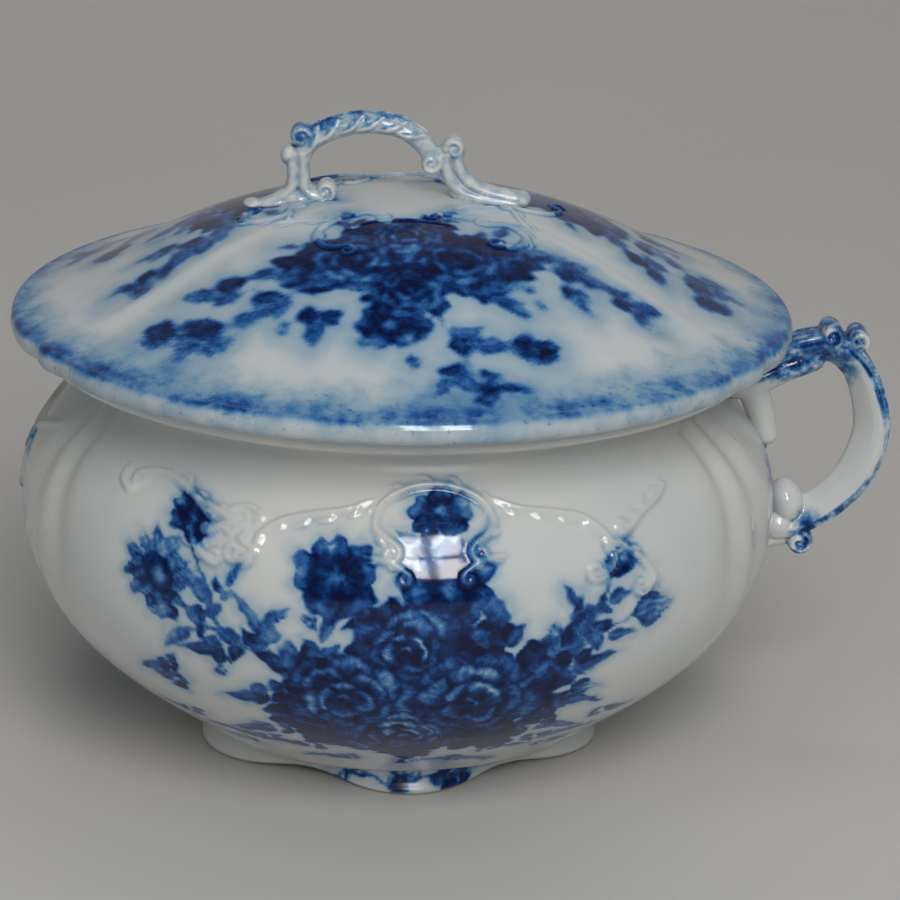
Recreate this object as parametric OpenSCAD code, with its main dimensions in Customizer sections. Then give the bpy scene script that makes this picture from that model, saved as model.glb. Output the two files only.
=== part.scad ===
// Lidded chamber pot in moulded earthenware: a fluted bowl on a lobed foot ring,
// a scroll handle at its side, and a loose domed lid with a scroll grip on top.
// Millimetres, +Z up. The pot stands on z = 0 with its axis on Z.
// Its front panel faces -Y and its handle stands at +X.

/* [Foot ring] */
// Diameter of the foot ring across its lobes
foot_d = 138; // [115:1:160]
// Height of the foot ring
foot_h = 9; // [6:0.5:14]
// Width of the foot ring's clay, from the lobes' crests inwards
foot_wall = 10; // [8:0.5:16]
// Number of lobes round the foot ring
foot_lobes = 6; // [5:1:12]
// Depth of the hollows between the lobes
lobe_depth = 6; // [1:0.5:6]
// Turn of the first lobe from the front, towards the handle, in degrees
lobe_turn = 5; // [0:1:30]

/* [Bowl] */
// Ledge of the bowl's underside past the foot ring
foot_ledge = 1; // [0.5:0.5:5]
// Greatest diameter of the belly
belly_d = 238; // [215:1:270]
// Height of the belly's widest line above the table
belly_h = 76; // [60:1:95]
// Outer diameter of the neck
neck_d = 191; // [170:1:205]
// Rise from the belly's widest line to the neck
shoulder_rise = 42; // [34:1:60]
// How far the rim flares out past the neck
rim_flare = 17.5; // [12:0.5:25]
// Rise from the neck to the top of the rim
rim_rise = 14; // [12:0.5:22]
// Width of the rim's lip
rim_lip = 5; // [4:0.5:8]
// Height of the lip's outer face
lip_face = 5; // [2:0.5:6]
// Rounding of the lip's corners
lip_round = 1.5; // [0.8:0.1:2]
// Thickness of the bowl's wall
bowl_wall = 5; // [3.5:0.5:6.5]

/* [Moulding] */
// Number of plain panels, with a cluster of flutes between each two
panels = 3; // [2:1:6]
// Creases in each cluster
flutes = 2; // [1:1:4]
// Angle between two creases of a cluster, in degrees
flute_pitch = 11; // [8:0.5:13]
// Angle over which a crease rises to its lobes, in degrees
crease_spread = 3.2; // [2:0.2:4.5]
// Depth of the bowl's creases
bowl_flute = 2.4; // [0.5:0.1:3]
// Depth of the lid's creases
lid_flute = 1.6; // [0.3:0.1:2.5]
// Depth of the notches in the lid's edge
lid_scallop = 1.8; // [0.3:0.1:3]

/* [Lid] */
// How far the lid's edge stands out past the rim
lid_overhang = 8.5; // [5:0.5:12]
// How far the lid's edge hangs below the top of the rim
edge_drop = 1; // [0.5:0.5:2.5]
// Clearance between the rim and the lid's hanging edge
edge_gap = 1; // [0.5:0.25:2]
// Thickness of the lid at its edge
lid_edge = 6.5; // [4:0.5:8]
// Rounding of the lid's edge
edge_round = 1.4; // [0.6:0.1:1.9]
// How far the lid's flat seat reaches in past the lip
seat_margin = 2; // [1:0.5:4]
// Rise of the dome from the lid's edge to its crown
dome_rise = 34; // [26:1:50]
// Thickness of the lid's wall
lid_wall = 5; // [3.5:0.5:7]

/* [Lid flange] */
// How deep the flange reaches into the bowl's mouth
flange_depth = 9; // [6:0.5:12]
// Thickness of the flange
flange_wall = 4; // [3:0.5:6]
// Clearance round the flange in the bowl's mouth
flange_gap = 2; // [1:0.25:3]

/* [Lid handle] */
// Length of the lid's handle, from foot to foot
grip_span = 84; // [70:1:100]
// Offset of the handle's middle from the lid's centre, towards -X
grip_offset = 5.5; // [0:0.5:10]
// Height of the top of the arch above the lid's crown
grip_rise = 26; // [22:1:34]
// Thickness of the arch
grip_thick = 7; // [6:0.5:9]
// Width of the arch
grip_width = 10; // [8:0.5:14]
// Diameter of the handle's curled ends
grip_curl_d = 8; // [6:0.5:10]
// Distance of the left stem from the handle's middle
left_stem_out = 26; // [24:0.5:28]
// Distance of the right stem from the handle's middle
right_stem_out = 20.5; // [19:0.5:22]

/* [Pot handle] */
// How far the handle stands out past the lid's edge
loop_reach = 34; // [30:0.5:46]
// How far the handle's root lies below the rim
loop_root_drop = 15; // [13:0.5:20]
// Height of the handle's lower joint above the table
loop_low_h = 66; // [56:1:72]
// Thickness of the strap
strap_thick = 11; // [9:0.5:13]
// Width of the strap
strap_width = 15; // [11:0.5:20]
// Diameter of the two curls on the handle's crest
crest_curl_d = 7.5; // [6:0.5:10]
// Diameter of the curl that hangs from the handle's lower end
low_curl_d = 10; // [8:0.5:12]
// Diameter of the knob over the handle's lower joint
knob_d = 10; // [8:0.5:13]
// Length of the tail that hangs from the handle's root
tail_len = 20; // [14:1:26]
// Diameter of the tail's rounded end
tail_d = 8; // [6:0.5:10]

/* [Hidden] */
glaze = "#e6e9ea";
shaded_glaze = "#cfd6da";
blue_wash = "#8fa9cf";

// Radii and heights along the bowl's outside
foot_r = foot_d / 2;
seat_r = foot_r + foot_ledge;
belly_r = belly_d / 2;
neck_r = neck_d / 2;
neck_h = belly_h + shoulder_rise;
rim_r = neck_r + rim_flare;
rim_h = neck_h + rim_rise;
floor_h = foot_h + bowl_wall;
// Slope of the bowl's underside where it leaves the foot, in degrees
base_slope = 40;
// Points on each stretch of a profile
curve_steps = 7;

// Radii and heights of the lid
lid_r = rim_r + lid_overhang;
lid_low = rim_h - edge_drop;
lid_top_edge = lid_low + lid_edge;
crown_h = lid_top_edge + dome_rise;

// Point on a cubic curve
function curve(p, t) =
    p[0] * pow(1 - t, 3) + p[1] * 3 * pow(1 - t, 2) * t
    + p[2] * 3 * (1 - t) * pow(t, 2) + p[3] * pow(t, 3);
function curve_points(p, from = 0) = [for (i = [from:curve_steps]) curve(p, i / curve_steps)];

// Unit vector of a 2D vector, and the direction of a list of points at one of them
function unit(v) = v / norm(v);
function heading(pts, i) = unit(pts[min(i + 1, len(pts) - 1)] - pts[max(i - 1, 0)]);

// The bowl's outside, from the foot to the underside of the lip
base_reach = seat_r * 0.36;
base_curve = [
    [seat_r, foot_h],
    [seat_r + base_reach * cos(base_slope), foot_h + base_reach * sin(base_slope)],
    [belly_r, belly_h * 0.53],
    [belly_r, belly_h],
];
shoulder_curve = [
    [belly_r, belly_h],
    [belly_r, belly_h + shoulder_rise * 0.68],
    [neck_r, neck_h - shoulder_rise * 0.19],
    [neck_r, neck_h],
];
lip_under = [rim_r - lip_round, rim_h - lip_round - lip_face];
rim_curve = [
    [neck_r, neck_h],
    [neck_r, neck_h + rim_rise * 0.4],
    lip_under - [rim_flare * 0.5, rim_rise * 0.18],
    lip_under,
];
outside = concat(curve_points(base_curve), curve_points(shoulder_curve, 1), curve_points(rim_curve, 1));
// The inside lies one wall in from the outside
inside = [
    for (i = [0:len(outside) - 1])
        let (d = heading(outside, i)) outside[i] + bowl_wall * [-d.y, d.x]
];
function outer_r(z) = lookup(z, [for (p = outside) [p.y, p.x]]);
function inner_r(z) = lookup(z, [for (p = inside) [p.y, p.x]]);

// The lid's dome: height above the table at a radius
dome_curve = [
    [0, crown_h],
    [lid_r * 0.55, crown_h],
    [lid_r * 0.67, lid_top_edge + dome_rise * 0.26],
    [lid_r, lid_top_edge],
];
dome_steps = 14;
dome = [for (i = [0:dome_steps]) curve(dome_curve, i / dome_steps)];
function dome_z(r) = lookup(r, [for (p = dome) [p.x, p.y]]);
function under_z(r) = dome_z(r) - lid_wall;

// The flange hangs inside the mouth, clear of the wall at its lowest line
flange_low = rim_h - flange_depth;
flange_r = inner_r(flange_low) - flange_gap;
flange_in_r = flange_r - flange_wall;

// Flutes: clusters of creases lie between the panels, and the first panel faces -Y
panel_angle = 360 / panels;
first_corner = panel_angle / 2 - 90;
cluster_angle = (flutes + 1) * flute_pitch;
steps_in_lobe = 4;
steps_in_panel = 10;
cluster_steps = steps_in_lobe * (flutes + 1);
columns = [
    for (p = [0:panels - 1])
        let (corner = first_corner + p * panel_angle)
            each concat(
                [for (k = [0:cluster_steps - 1]) corner + (k / cluster_steps - 0.5) * cluster_angle],
                [
                    for (k = [0:steps_in_panel - 1])
                        corner + cluster_angle / 2 + k * (panel_angle - cluster_angle) / steps_in_panel
                ]
            )
];
// Angle from the middle of the nearest cluster
function from_corner(a) =
    let (turn = (a - first_corner) / panel_angle) (turn - floor(turn + 0.5)) * panel_angle;
// 1 in a crease, falling to 0 on the panels
function crease(a) = max([
    for (k = [0:flutes - 1])
        let (d = (from_corner(a) - (k - (flutes - 1) / 2) * flute_pitch) / crease_spread)
            exp(-d * d)
]);
// How deep the bowl's creases are at a height, as a share of their full depth
function bowl_fade(z) = lookup(z, [
    [foot_h, 0],
    [belly_h * 0.35, 0.3],
    [belly_h, 1],
    [neck_h - shoulder_rise * 0.2, 1],
    [neck_h + rim_rise * 0.3, 0],
]);
// The same on the lid, by radius
function lid_fade(r) = lookup(r / lid_r, [[0.3, 0], [0.6, 0.8], [0.9, 1], [1, 0.6]]);

// A row is [radius, height, depth of its creases inwards, depth of its creases downwards]
bowl_outer_rows = concat(
    [for (p = outside) [p.x, p.y, bowl_flute * bowl_fade(p.y), 0]],
    [
        [rim_r, rim_h - lip_face, 0, 0],
        [rim_r, rim_h - lip_round, 0, 0],
        [rim_r - lip_round, rim_h, 0, 0],
    ]
);
// Inside the lip the wall starts a little in from the lip's edge
mouth_r = rim_r - rim_lip - lip_round / 2;
bowl_inner_rows = concat(
    [[rim_r - rim_lip, rim_h, 0, 0]],
    [
        for (i = [len(inside) - 1:-1:0])
            let (p = inside[i])
                if (p.y > floor_h + lip_round && (p.y < neck_h || p.x < mouth_r))
                    [p.x, p.y, 0, 0]
    ],
    [[inner_r(floor_h), floor_h, 0, 0]]
);
lid_outer_rows = concat(
    [for (i = [1:dome_steps - 1]) [dome[i].x, dome[i].y, 0, lid_flute * lid_fade(dome[i].x)]],
    [
        [lid_r - edge_round, lid_top_edge, lid_scallop, lid_flute * lid_fade(lid_r)],
        [lid_r, lid_top_edge - edge_round, lid_scallop, 0],
        [lid_r, lid_low + edge_round, lid_scallop, 0],
        [lid_r - edge_round, lid_low, lid_scallop, 0],
    ]
);
lid_seat_r = rim_r - rim_lip - seat_margin;
under_start = (lid_seat_r + flange_r) / 2;
under_radii = [
    under_start, flange_r, flange_in_r,
    for (k = [4:-1:1]) flange_in_r * k / 5
];
lid_inner_rows = concat(
    [
        [rim_r + edge_gap, lid_low, 0, 0],
        [rim_r + edge_gap, rim_h, 0, 0],
        [lid_seat_r, rim_h, 0, 0],
    ],
    [for (r = under_radii) [r, under_z(r), 0, 0]]
);

function ring_points(rows) = [
    for (row = rows)
        for (a = columns)
            let (c = crease(a), r = row[0] - row[2] * c)
                [r * cos(a), r * sin(a), row[1] - row[3] * c]
];
// Two triangles for each patch between row i and row k
function band(i, k) =
    let (n = len(columns))
        [
            for (j = [0:n - 1])
                let (m = (j + 1) % n)
                    each [[i * n + j, i * n + m, k * n + j], [i * n + m, k * n + m, k * n + j]]
        ];
// Triangles from row i to a point on the axis that begins the skin, or ends it
function first_fan(i, pole) =
    let (n = len(columns)) [for (j = [0:n - 1]) [pole, i * n + (j + 1) % n, i * n + j]];
function last_fan(i, pole) =
    let (n = len(columns)) [for (j = [0:n - 1]) [pole, i * n + j, i * n + (j + 1) % n]];
function backwards(list) = [for (i = [len(list) - 1:-1:0]) list[i]];

// Closed skin through rows of points, with a point on the axis at each end.
// Its rows run clockwise round the section, seen with the axis at the left.
module skin(rows, first_z, last_z) {
    points = concat(ring_points(rows), [[0, 0, first_z], [0, 0, last_z]]);
    end = len(rows) - 1;
    first_pole = len(points) - 2;
    polyhedron(points, concat(
        first_fan(0, first_pole),
        [for (i = [0:end - 1]) each band(i, i + 1)],
        last_fan(end, first_pole + 1)
    ));
}

// Closed ring through rows of points
module ring_skin(rows) {
    end = len(rows) - 1;
    polyhedron(ring_points(rows), [for (i = [0:end]) each band(i, (i + 1) % (end + 1))]);
}

// The bowl's outside as a solid form, to which the handle is fitted
module bowl_form() {
    skin(backwards(bowl_outer_rows), rim_h, foot_h);
}

// The lid's outside as a solid form, to which the grip is fitted
module lid_form() {
    skin(lid_outer_rows, crown_h, lid_low);
}

// Smooth path through a few stations [x, z, half thickness, half width]
path_steps = 5;
function between(a, b, c, d, t) =
    (b * 2 + (c - a) * t + (a * 2 - b * 5 + c * 4 - d) * t * t
        + (b * 3 - a - c * 3 + d) * t * t * t) / 2;
function smooth_path(s) =
    let (end = len(s) - 1)
        concat(
            [
                for (i = [0:end - 1])
                    for (k = [0:path_steps - 1])
                        between(s[max(i - 1, 0)], s[i], s[i + 1], s[min(i + 2, end)], k / path_steps)
            ],
            [s[end]]
        );

// Strap of oval section swept along a path in the plane y = 0
strap_sides = 14;
module strand(stations) {
    path = smooth_path(stations);
    spine = [for (p = path) [p[0], p[1]]];
    end = len(path) - 1;
    points = concat(
        [
            for (i = [0:end])
                let (d = heading(spine, i))
                    for (k = [0:strap_sides - 1])
                        let (
                            a = 360 * k / strap_sides,
                            out = path[i][2] * cos(a),
                            across = path[i][3] * sin(a)
                        )
                            [path[i][0] - d.y * out, across, path[i][1] + d.x * out]
        ],
        [[spine[0].x, 0, spine[0].y], [spine[end].x, 0, spine[end].y]]
    );
    first_mid = len(points) - 2;
    polyhedron(points, concat(
        [for (k = [0:strap_sides - 1]) [(k + 1) % strap_sides, k, first_mid]],
        [
            for (i = [0:end - 1])
                for (k = [0:strap_sides - 1])
                    let (
                        a = i * strap_sides + k,
                        b = i * strap_sides + (k + 1) % strap_sides
                    )
                        each [[a, b, a + strap_sides], [b, b + strap_sides, a + strap_sides]]
        ],
        [
            for (k = [0:strap_sides - 1])
                [end * strap_sides + k, end * strap_sides + (k + 1) % strap_sides, first_mid + 1]
        ]
    ));
}

// Curled end of a scroll: a rounded roll across the strap
roll_sides = 16;
module roll(x, z, d, width) {
    side = max(width - d, d / 8) / 2;
    hull()
        for (s = [-1, 1])
            translate([x, s * side, z])
                sphere(d = d, $fn = roll_sides);
}

// Foot ring: lobed outside, plain round inside, luted under the bowl
lobe_points = 16;
module foot_ring() {
    steps = foot_lobes * lobe_points;
    outline = [
        for (i = [0:steps - 1])
            let (
                a = 360 * i / steps,
                r = foot_r - lobe_depth * (1 - cos(foot_lobes * a)) / 2
            )
                [r * sin(a + lobe_turn), -r * cos(a + lobe_turn)]
    ];
    color(shaded_glaze)
        linear_extrude(height = foot_h)
            difference() {
                polygon(outline);
                circle(r = foot_r - foot_wall, $fn = 96);
            }
}

// Bowl: a fluted shell with a flat underside for the foot and a flat lip for the lid
module bowl() {
    color(glaze)
        skin(backwards(concat(bowl_outer_rows, bowl_inner_rows)), floor_h, foot_h);
}

// Pot handle: a strap from under the rim over a crest of two curls to the belly
root_h = rim_h - loop_root_drop;
crest_x = lid_r + loop_reach * 0.42;
crest_z = rim_h - strap_thick * 0.55;
far_x = lid_r + loop_reach - strap_thick / 2;
loop_mid_h = (crest_z + loop_low_h) / 2;
low_x = outer_r(loop_low_h);
half_thick = strap_thick / 2;
half_width = strap_width / 2;
loop_path = [
    [neck_r - bowl_wall / 2, root_h, half_thick * 0.8, half_width],
    [rim_r, root_h + strap_thick * 0.25, half_thick * 0.9, half_width],
    [crest_x, crest_z, half_thick, half_width],
    [far_x - strap_thick * 0.25, loop_mid_h + (crest_z - loop_mid_h) * 0.5, half_thick, half_width],
    [far_x, loop_mid_h + strap_thick * 0.2, half_thick, half_width * 0.9],
    [
        far_x - loop_reach * 0.14, loop_mid_h - (loop_mid_h - loop_low_h) * 0.42,
        half_thick * 1.15, half_width * 0.9
    ],
    [far_x - loop_reach * 0.45, loop_low_h + strap_thick * 0.62, half_thick * 1.1, half_width],
    [low_x - bowl_wall / 2, loop_low_h, half_thick, half_width],
];
curl_z = crest_z + strap_thick * 0.45;
tail_top = root_h - strap_thick * 0.1;
tail_links = 4;
// Distance of the tail's middle from the wall, and its diameter, at a share of its length
function tail_out(share) = strap_thick * 0.6 * (1 - share) + tail_d * 0.2 * share;
function tail_round(share) = strap_thick * (1 - share) + tail_d * share;
knob_z = loop_low_h + strap_thick * 0.75;
knob_x = outer_r(knob_z) + knob_d * 0.5;
module pot_handle() {
    color(blue_wash)
        difference() {
            union() {
                strand(loop_path);
                roll(crest_x - crest_curl_d * 0.1, curl_z, crest_curl_d, strap_width);
                roll(crest_x + crest_curl_d * 0.95, curl_z - crest_curl_d * 0.3, crest_curl_d, strap_width);
                roll(low_x + low_curl_d * 1.05, loop_low_h - low_curl_d * 0.6, low_curl_d, strap_width);
                hull() {
                    roll(knob_x, knob_z, knob_d, strap_width);
                    roll(knob_x + knob_d * 0.2, loop_low_h, knob_d, strap_width);
                }
                for (k = [0:tail_links - 1])
                    hull()
                        for (share = [k / tail_links, (k + 1) / tail_links])
                            let (z = tail_top - tail_len * share)
                                translate([outer_r(z) + tail_out(share), 0, z])
                                    sphere(d = tail_round(share), $fn = roll_sides);
            }
            bowl_form();
        }
}

// Lid dome: a fluted dome with a scalloped edge and a flat seat for the lip
module lid_dome() {
    color(glaze)
        skin(concat(lid_outer_rows, lid_inner_rows), crown_h, under_z(0));
}

// Lid flange: the ring under the dome that keeps the lid in the mouth
module lid_flange() {
    rows = [
        [flange_in_r, flange_low, 0, 0],
        [flange_in_r, under_z(flange_in_r), 0, 0],
        [flange_r, under_z(flange_r), 0, 0],
        [flange_r, flange_low, 0, 0],
    ];
    color(shaded_glaze)
        ring_skin(rows);
}

// Lid handle: a scrolled arch on two spread feet
half_span = grip_span / 2;
arch_h = crown_h + grip_rise - grip_thick / 2;
function grip_x(share) = share * half_span - grip_offset;
function on_lid(share, lift) = dome_z(abs(grip_x(share))) + lift;
gt = grip_thick / 2;
gw = grip_width / 2;
// Places along the handle, as shares of its half span
left_stem = -left_stem_out / half_span;
right_stem = right_stem_out / half_span;
arch_end = right_stem - 0.15;
inner_curl = left_stem + 0.21;
function level(share) = crown_h + share * (arch_h - crown_h);
arch_path = [
    [grip_x(left_stem), on_lid(left_stem, -lid_wall / 2), gt * 1.3, gw],
    [grip_x(left_stem) - gt * 0.2, level(0.22), gt, gw * 0.8],
    [grip_x(left_stem), level(0.58), gt, gw * 0.8],
    [grip_x(left_stem + 0.18), level(0.87), gt, gw],
    [grip_x(-0.1), arch_h, gt, gw],
    [grip_x(arch_end - 0.14), level(0.86), gt, gw],
    [grip_x(arch_end), level(0.55), gt, gw],
];
left_foot = [
    [grip_x(left_stem + 0.04), level(0.2), gt, gw * 0.8],
    [grip_x(left_stem - 0.13), on_lid(left_stem - 0.13, gt * 0.9), gt * 0.9, gw],
    [grip_x(-1), on_lid(-1, gt * 0.2), gt * 0.6, gw],
];
right_leg = [
    [grip_x(right_stem), level(0.65), gt, gw * 0.9],
    [grip_x(right_stem), level(0.35), gt, gw * 0.9],
    [grip_x(right_stem + 0.15), on_lid(right_stem + 0.15, gt), gt, gw],
    [grip_x(1), on_lid(1, gt * 0.3), gt * 0.7, gw],
];
module lid_handle() {
    color(blue_wash)
        difference() {
            union() {
                strand(arch_path);
                strand(left_foot);
                strand(right_leg);
                roll(grip_x(left_stem), level(0.8), grip_curl_d, grip_width);
                roll(grip_x(left_stem - 0.1), level(0.54), grip_curl_d * 0.6, grip_width);
                roll(grip_x(inner_curl), on_lid(inner_curl, gt * 0.7), grip_curl_d * 0.85, grip_width);
                roll(grip_x(-1), on_lid(-1, gt * 0.2), grip_curl_d * 0.6, grip_width);
                roll(grip_x(arch_end - 0.02), level(0.48), grip_curl_d, grip_width);
                roll(grip_x(right_stem), level(0.66), grip_curl_d * 0.9, grip_width);
                roll(grip_x(1), on_lid(1, gt * 0.3), grip_curl_d * 0.7, grip_width);
                hull() {
                    roll(grip_x(left_stem), level(0.12), grip_thick, grip_width);
                    roll(grip_x(inner_curl), on_lid(inner_curl, gt * 0.3), grip_thick * 0.7, grip_width);
                }
            }
            lid_form();
        }
}

foot_ring();
bowl();
pot_handle();
lid_dome();
lid_flange();
lid_handle();
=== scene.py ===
import math

import bpy
import numpy as np
from mathutils import Matrix, Vector


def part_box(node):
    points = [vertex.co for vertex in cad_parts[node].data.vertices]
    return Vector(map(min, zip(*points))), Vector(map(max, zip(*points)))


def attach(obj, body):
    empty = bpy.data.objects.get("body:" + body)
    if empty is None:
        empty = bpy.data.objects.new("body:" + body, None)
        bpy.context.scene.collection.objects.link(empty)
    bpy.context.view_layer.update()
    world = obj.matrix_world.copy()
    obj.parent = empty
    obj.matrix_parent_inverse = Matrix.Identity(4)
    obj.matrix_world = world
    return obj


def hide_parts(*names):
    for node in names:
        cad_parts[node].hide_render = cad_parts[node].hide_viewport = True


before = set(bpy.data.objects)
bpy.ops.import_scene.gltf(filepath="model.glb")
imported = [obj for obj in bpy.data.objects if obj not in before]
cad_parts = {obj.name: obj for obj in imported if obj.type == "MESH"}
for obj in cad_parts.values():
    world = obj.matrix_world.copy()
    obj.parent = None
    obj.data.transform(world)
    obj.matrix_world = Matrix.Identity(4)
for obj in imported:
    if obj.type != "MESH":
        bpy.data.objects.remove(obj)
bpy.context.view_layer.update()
mm = 0.001
print("frame loaded:", ", ".join(sorted(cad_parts)))


# picking and applying

def clearPick():
    if bpy.context.object and bpy.context.object.mode != "OBJECT":
        bpy.ops.object.mode_set(mode="OBJECT")
    bpy.ops.object.select_all(action="DESELECT")


def pick(*pieces):
    clearPick()
    for piece in pieces:
        piece.select_set(True)
    bpy.context.view_layer.objects.active = pieces[0]
    return pieces[0]


def applyModifier(piece, kind, **settings):
    pick(piece)
    modifier = piece.modifiers.new(kind.title(), kind)
    for key, value in settings.items():
        setattr(modifier, key, value)
    bpy.ops.object.modifier_apply(modifier=modifier.name)


# vertex places in mm, and numbers kept on the vertices

def places(piece):
    flat = np.empty(len(piece.data.vertices) * 3, np.float32)
    piece.data.vertices.foreach_get("co", flat)
    return flat.reshape(-1, 3).astype(float) / mm


def setPlaces(piece, spots):
    piece.data.vertices.foreach_set("co", (spots * mm).astype(np.float32).ravel())
    piece.data.update()


def normals(piece):
    flat = np.empty(len(piece.data.vertices) * 3, np.float32)
    piece.data.vertex_normals.foreach_get("vector", flat)
    return flat.reshape(-1, 3).astype(float)


def addFields(piece, **fields):
    total = len(piece.data.vertices)
    for name, values in fields.items():
        layer = piece.data.attributes.new(name, "FLOAT", "POINT")
        layer.data.foreach_set("value", np.full(total, values, np.float32))


def readField(piece, name):
    values = np.empty(len(piece.data.vertices), np.float32)
    piece.data.attributes[name].data.foreach_get("value", values)
    return values.astype(float)


def neighbourMean(piece):
    # gives a function that evens out numbers kept on the vertices
    ends = np.empty(len(piece.data.edges) * 2, np.int32)
    piece.data.edges.foreach_get("vertices", ends)
    a, b = ends.reshape(-1, 2).T
    total = len(piece.data.vertices)
    count = np.maximum(np.bincount(a, minlength=total) + np.bincount(b, minlength=total), 1)

    def around(values, rounds):
        for _ in range(rounds):
            values = (np.bincount(a, values[b], total) + np.bincount(b, values[a], total)) / count
        return values

    return around


def blendStep(value, low, high):
    t = np.clip((value - low) / (high - low), 0, 1)
    return t * t * (3 - 2 * t)


def fromTable(value, table):
    return np.interp(value, *np.transpose(table))


# lines

def bezier(ends, count=40):
    t = np.linspace(0, 1, count)[:, None]
    a, b, c, d = np.array(ends, float)
    return a * (1 - t) ** 3 + 3 * b * (1 - t) ** 2 * t + 3 * c * (1 - t) * t ** 2 + d * t ** 3


def chain(*runs):
    line = [np.asarray(runs[0], float)]
    for run in runs[1:]:
        run = np.asarray(run, float)
        line.append(run[1:] if np.allclose(run[0], line[-1][-1]) else run)
    return np.vstack(line)


def runLength(line):
    return np.r_[0, np.cumsum(np.linalg.norm(np.diff(line, axis=0), axis=1))]


def spaced(line, step):
    length = runLength(line)
    marks = np.linspace(0, length[-1], max(2, int(math.ceil(length[-1] / step)) + 1))
    return np.column_stack([np.interp(marks, length, line[:, k]) for k in range(line.shape[1])])


def smoothLine(points, steps=8):
    p = np.asarray(points, float)
    p = np.vstack([2 * p[0] - p[1], p, 2 * p[-1] - p[-2]])
    t = np.linspace(0, 1, steps, endpoint=False)[:, None]
    runs = []
    for a, b, c, d in zip(p[:-3], p[1:-2], p[2:-1], p[3:]):
        runs.append((2 * b + (c - a) * t + (2 * a - 5 * b + 4 * c - d) * t ** 2
                     + (3 * b - a - 3 * c + d) * t ** 3) / 2)
    return np.vstack(runs + [p[-2][None, :]])


def curlOn(line, radius, side, turns=1.15):
    # a scroll that winds in from the end of a flat line
    heading = line[-1] - line[-2]
    heading = heading / np.linalg.norm(heading)
    across = side * np.array([-heading[1], heading[0]])
    hub = line[-1] + across * radius
    first = math.atan2(*(-across)[::-1])
    t = np.linspace(0, 1, 28)[1:]
    angle = first + side * 2 * math.pi * turns * t
    reach = radius * (1 - 0.72 * t)
    curl = np.column_stack([hub[0] + reach * np.cos(angle), hub[1] + reach * np.sin(angle)])
    return np.vstack([line, curl])


def scrollLine(points, startCurl, endCurl):
    line = smoothLine(points)
    if endCurl:
        line = curlOn(line, *endCurl)
    if startCurl:
        line = curlOn(line[::-1], *startCurl)[::-1]
    return line


# one turned shell: a section drawn point by point and spun about the pot's axis

def turnShell(name, section, columns):
    clearPick()
    bpy.ops.mesh.primitive_plane_add(size=mm)
    piece = bpy.context.object
    piece.name = piece.data.name = name
    bpy.ops.object.mode_set(mode="EDIT")
    bpy.ops.mesh.select_mode(type="VERT")
    bpy.ops.mesh.select_all(action="SELECT")
    bpy.ops.mesh.merge(type="CENTER")
    bpy.ops.transform.translate(value=(section[0][0] * mm, 0, section[0][1] * mm))
    for here, there in zip(section[:-1], section[1:]):
        step = ((there[0] - here[0]) * mm, 0, (there[1] - here[1]) * mm)
        bpy.ops.mesh.extrude_vertices_move(TRANSFORM_OT_translate={"value": step})
    bpy.ops.mesh.select_all(action="SELECT")
    bpy.ops.mesh.spin(steps=columns, angle=2 * math.pi, center=(0, 0, 0), axis=(0, 0, 1))
    bpy.ops.mesh.select_all(action="SELECT")
    bpy.ops.mesh.remove_doubles(threshold=0.01 * mm)
    bpy.ops.mesh.normals_make_consistent(inside=False)
    bpy.ops.object.mode_set(mode="OBJECT")
    bpy.ops.object.shade_smooth()
    return piece


def rowNumbers(piece, section):
    spots = places(piece)
    radius = np.hypot(spots[:, 0], spots[:, 1])
    gap = np.full(len(spots), 1e9)
    row = np.zeros(len(spots))
    for k, (r, z) in enumerate(section):
        d = (radius - r) ** 2 + (spots[:, 2] - z) ** 2
        row[d < gap] = k
        gap = np.minimum(gap, d)
    return row


# angle round the pot in degrees: 0 at the front, and more towards the handle
def turnAngle(spots):
    return np.degrees(np.arctan2(spots[:, 0], -spots[:, 1]))


def fromPanel(angle, panels):
    pitch = 360 / panels
    return angle - pitch * np.round(angle / pitch)


def placeRound(piece, angle, radius, height):
    turn = np.radians(angle)
    setPlaces(piece, np.column_stack([radius * np.sin(turn), -radius * np.cos(turn), height]))


def crowdColumns(piece, crowding, panels):
    # moves the columns closer together on the panels, which carry the print
    spots = places(piece)
    angle = turnAngle(spots)
    angle = angle - crowding * np.degrees(np.sin(np.radians(angle) * panels)) / panels
    radius = np.hypot(spots[:, 0], spots[:, 1])
    placeRound(piece, angle, radius, spots[:, 2])
    return angle, radius


def splitNear(piece, wanted):
    # splits the wanted faces in four, so that fine moulding has points to stand on
    pick(piece)
    bpy.ops.object.mode_set(mode="EDIT")
    bpy.ops.mesh.select_mode(type="FACE")
    bpy.ops.mesh.select_all(action="DESELECT")
    bpy.ops.object.mode_set(mode="OBJECT")
    corners = np.empty(len(piece.data.loops), np.int32)
    piece.data.loops.foreach_get("vertex_index", corners)
    starts = np.empty(len(piece.data.polygons), np.int32)
    piece.data.polygons.foreach_get("loop_start", starts)
    piece.data.polygons.foreach_set("select", np.logical_or.reduceat(wanted[corners], starts))
    bpy.ops.object.mode_set(mode="EDIT")
    bpy.ops.mesh.subdivide(number_cuts=1)
    bpy.ops.object.mode_set(mode="OBJECT")


# raised moulding: how high a set of flat scroll lines stands at each point

def lineGap(u, v, line):
    # distance from points to a line, and how far along it the nearest point lies
    best = np.full(len(u), 1e9)
    share = np.zeros(len(u))
    length = runLength(line)
    for k in range(len(line) - 1):
        a, b = line[k], line[k + 1]
        d = b - a
        t = np.clip(((u - a[0]) * d[0] + (v - a[1]) * d[1]) / max(d @ d, 1e-9), 0, 1)
        gap = np.hypot(u - a[0] - d[0] * t, v - a[1] - d[1] * t)
        closer = gap < best
        best = np.where(closer, gap, best)
        share = np.where(closer, (length[k] + t * (length[k + 1] - length[k])) / length[-1], share)
    return best, share


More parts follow.
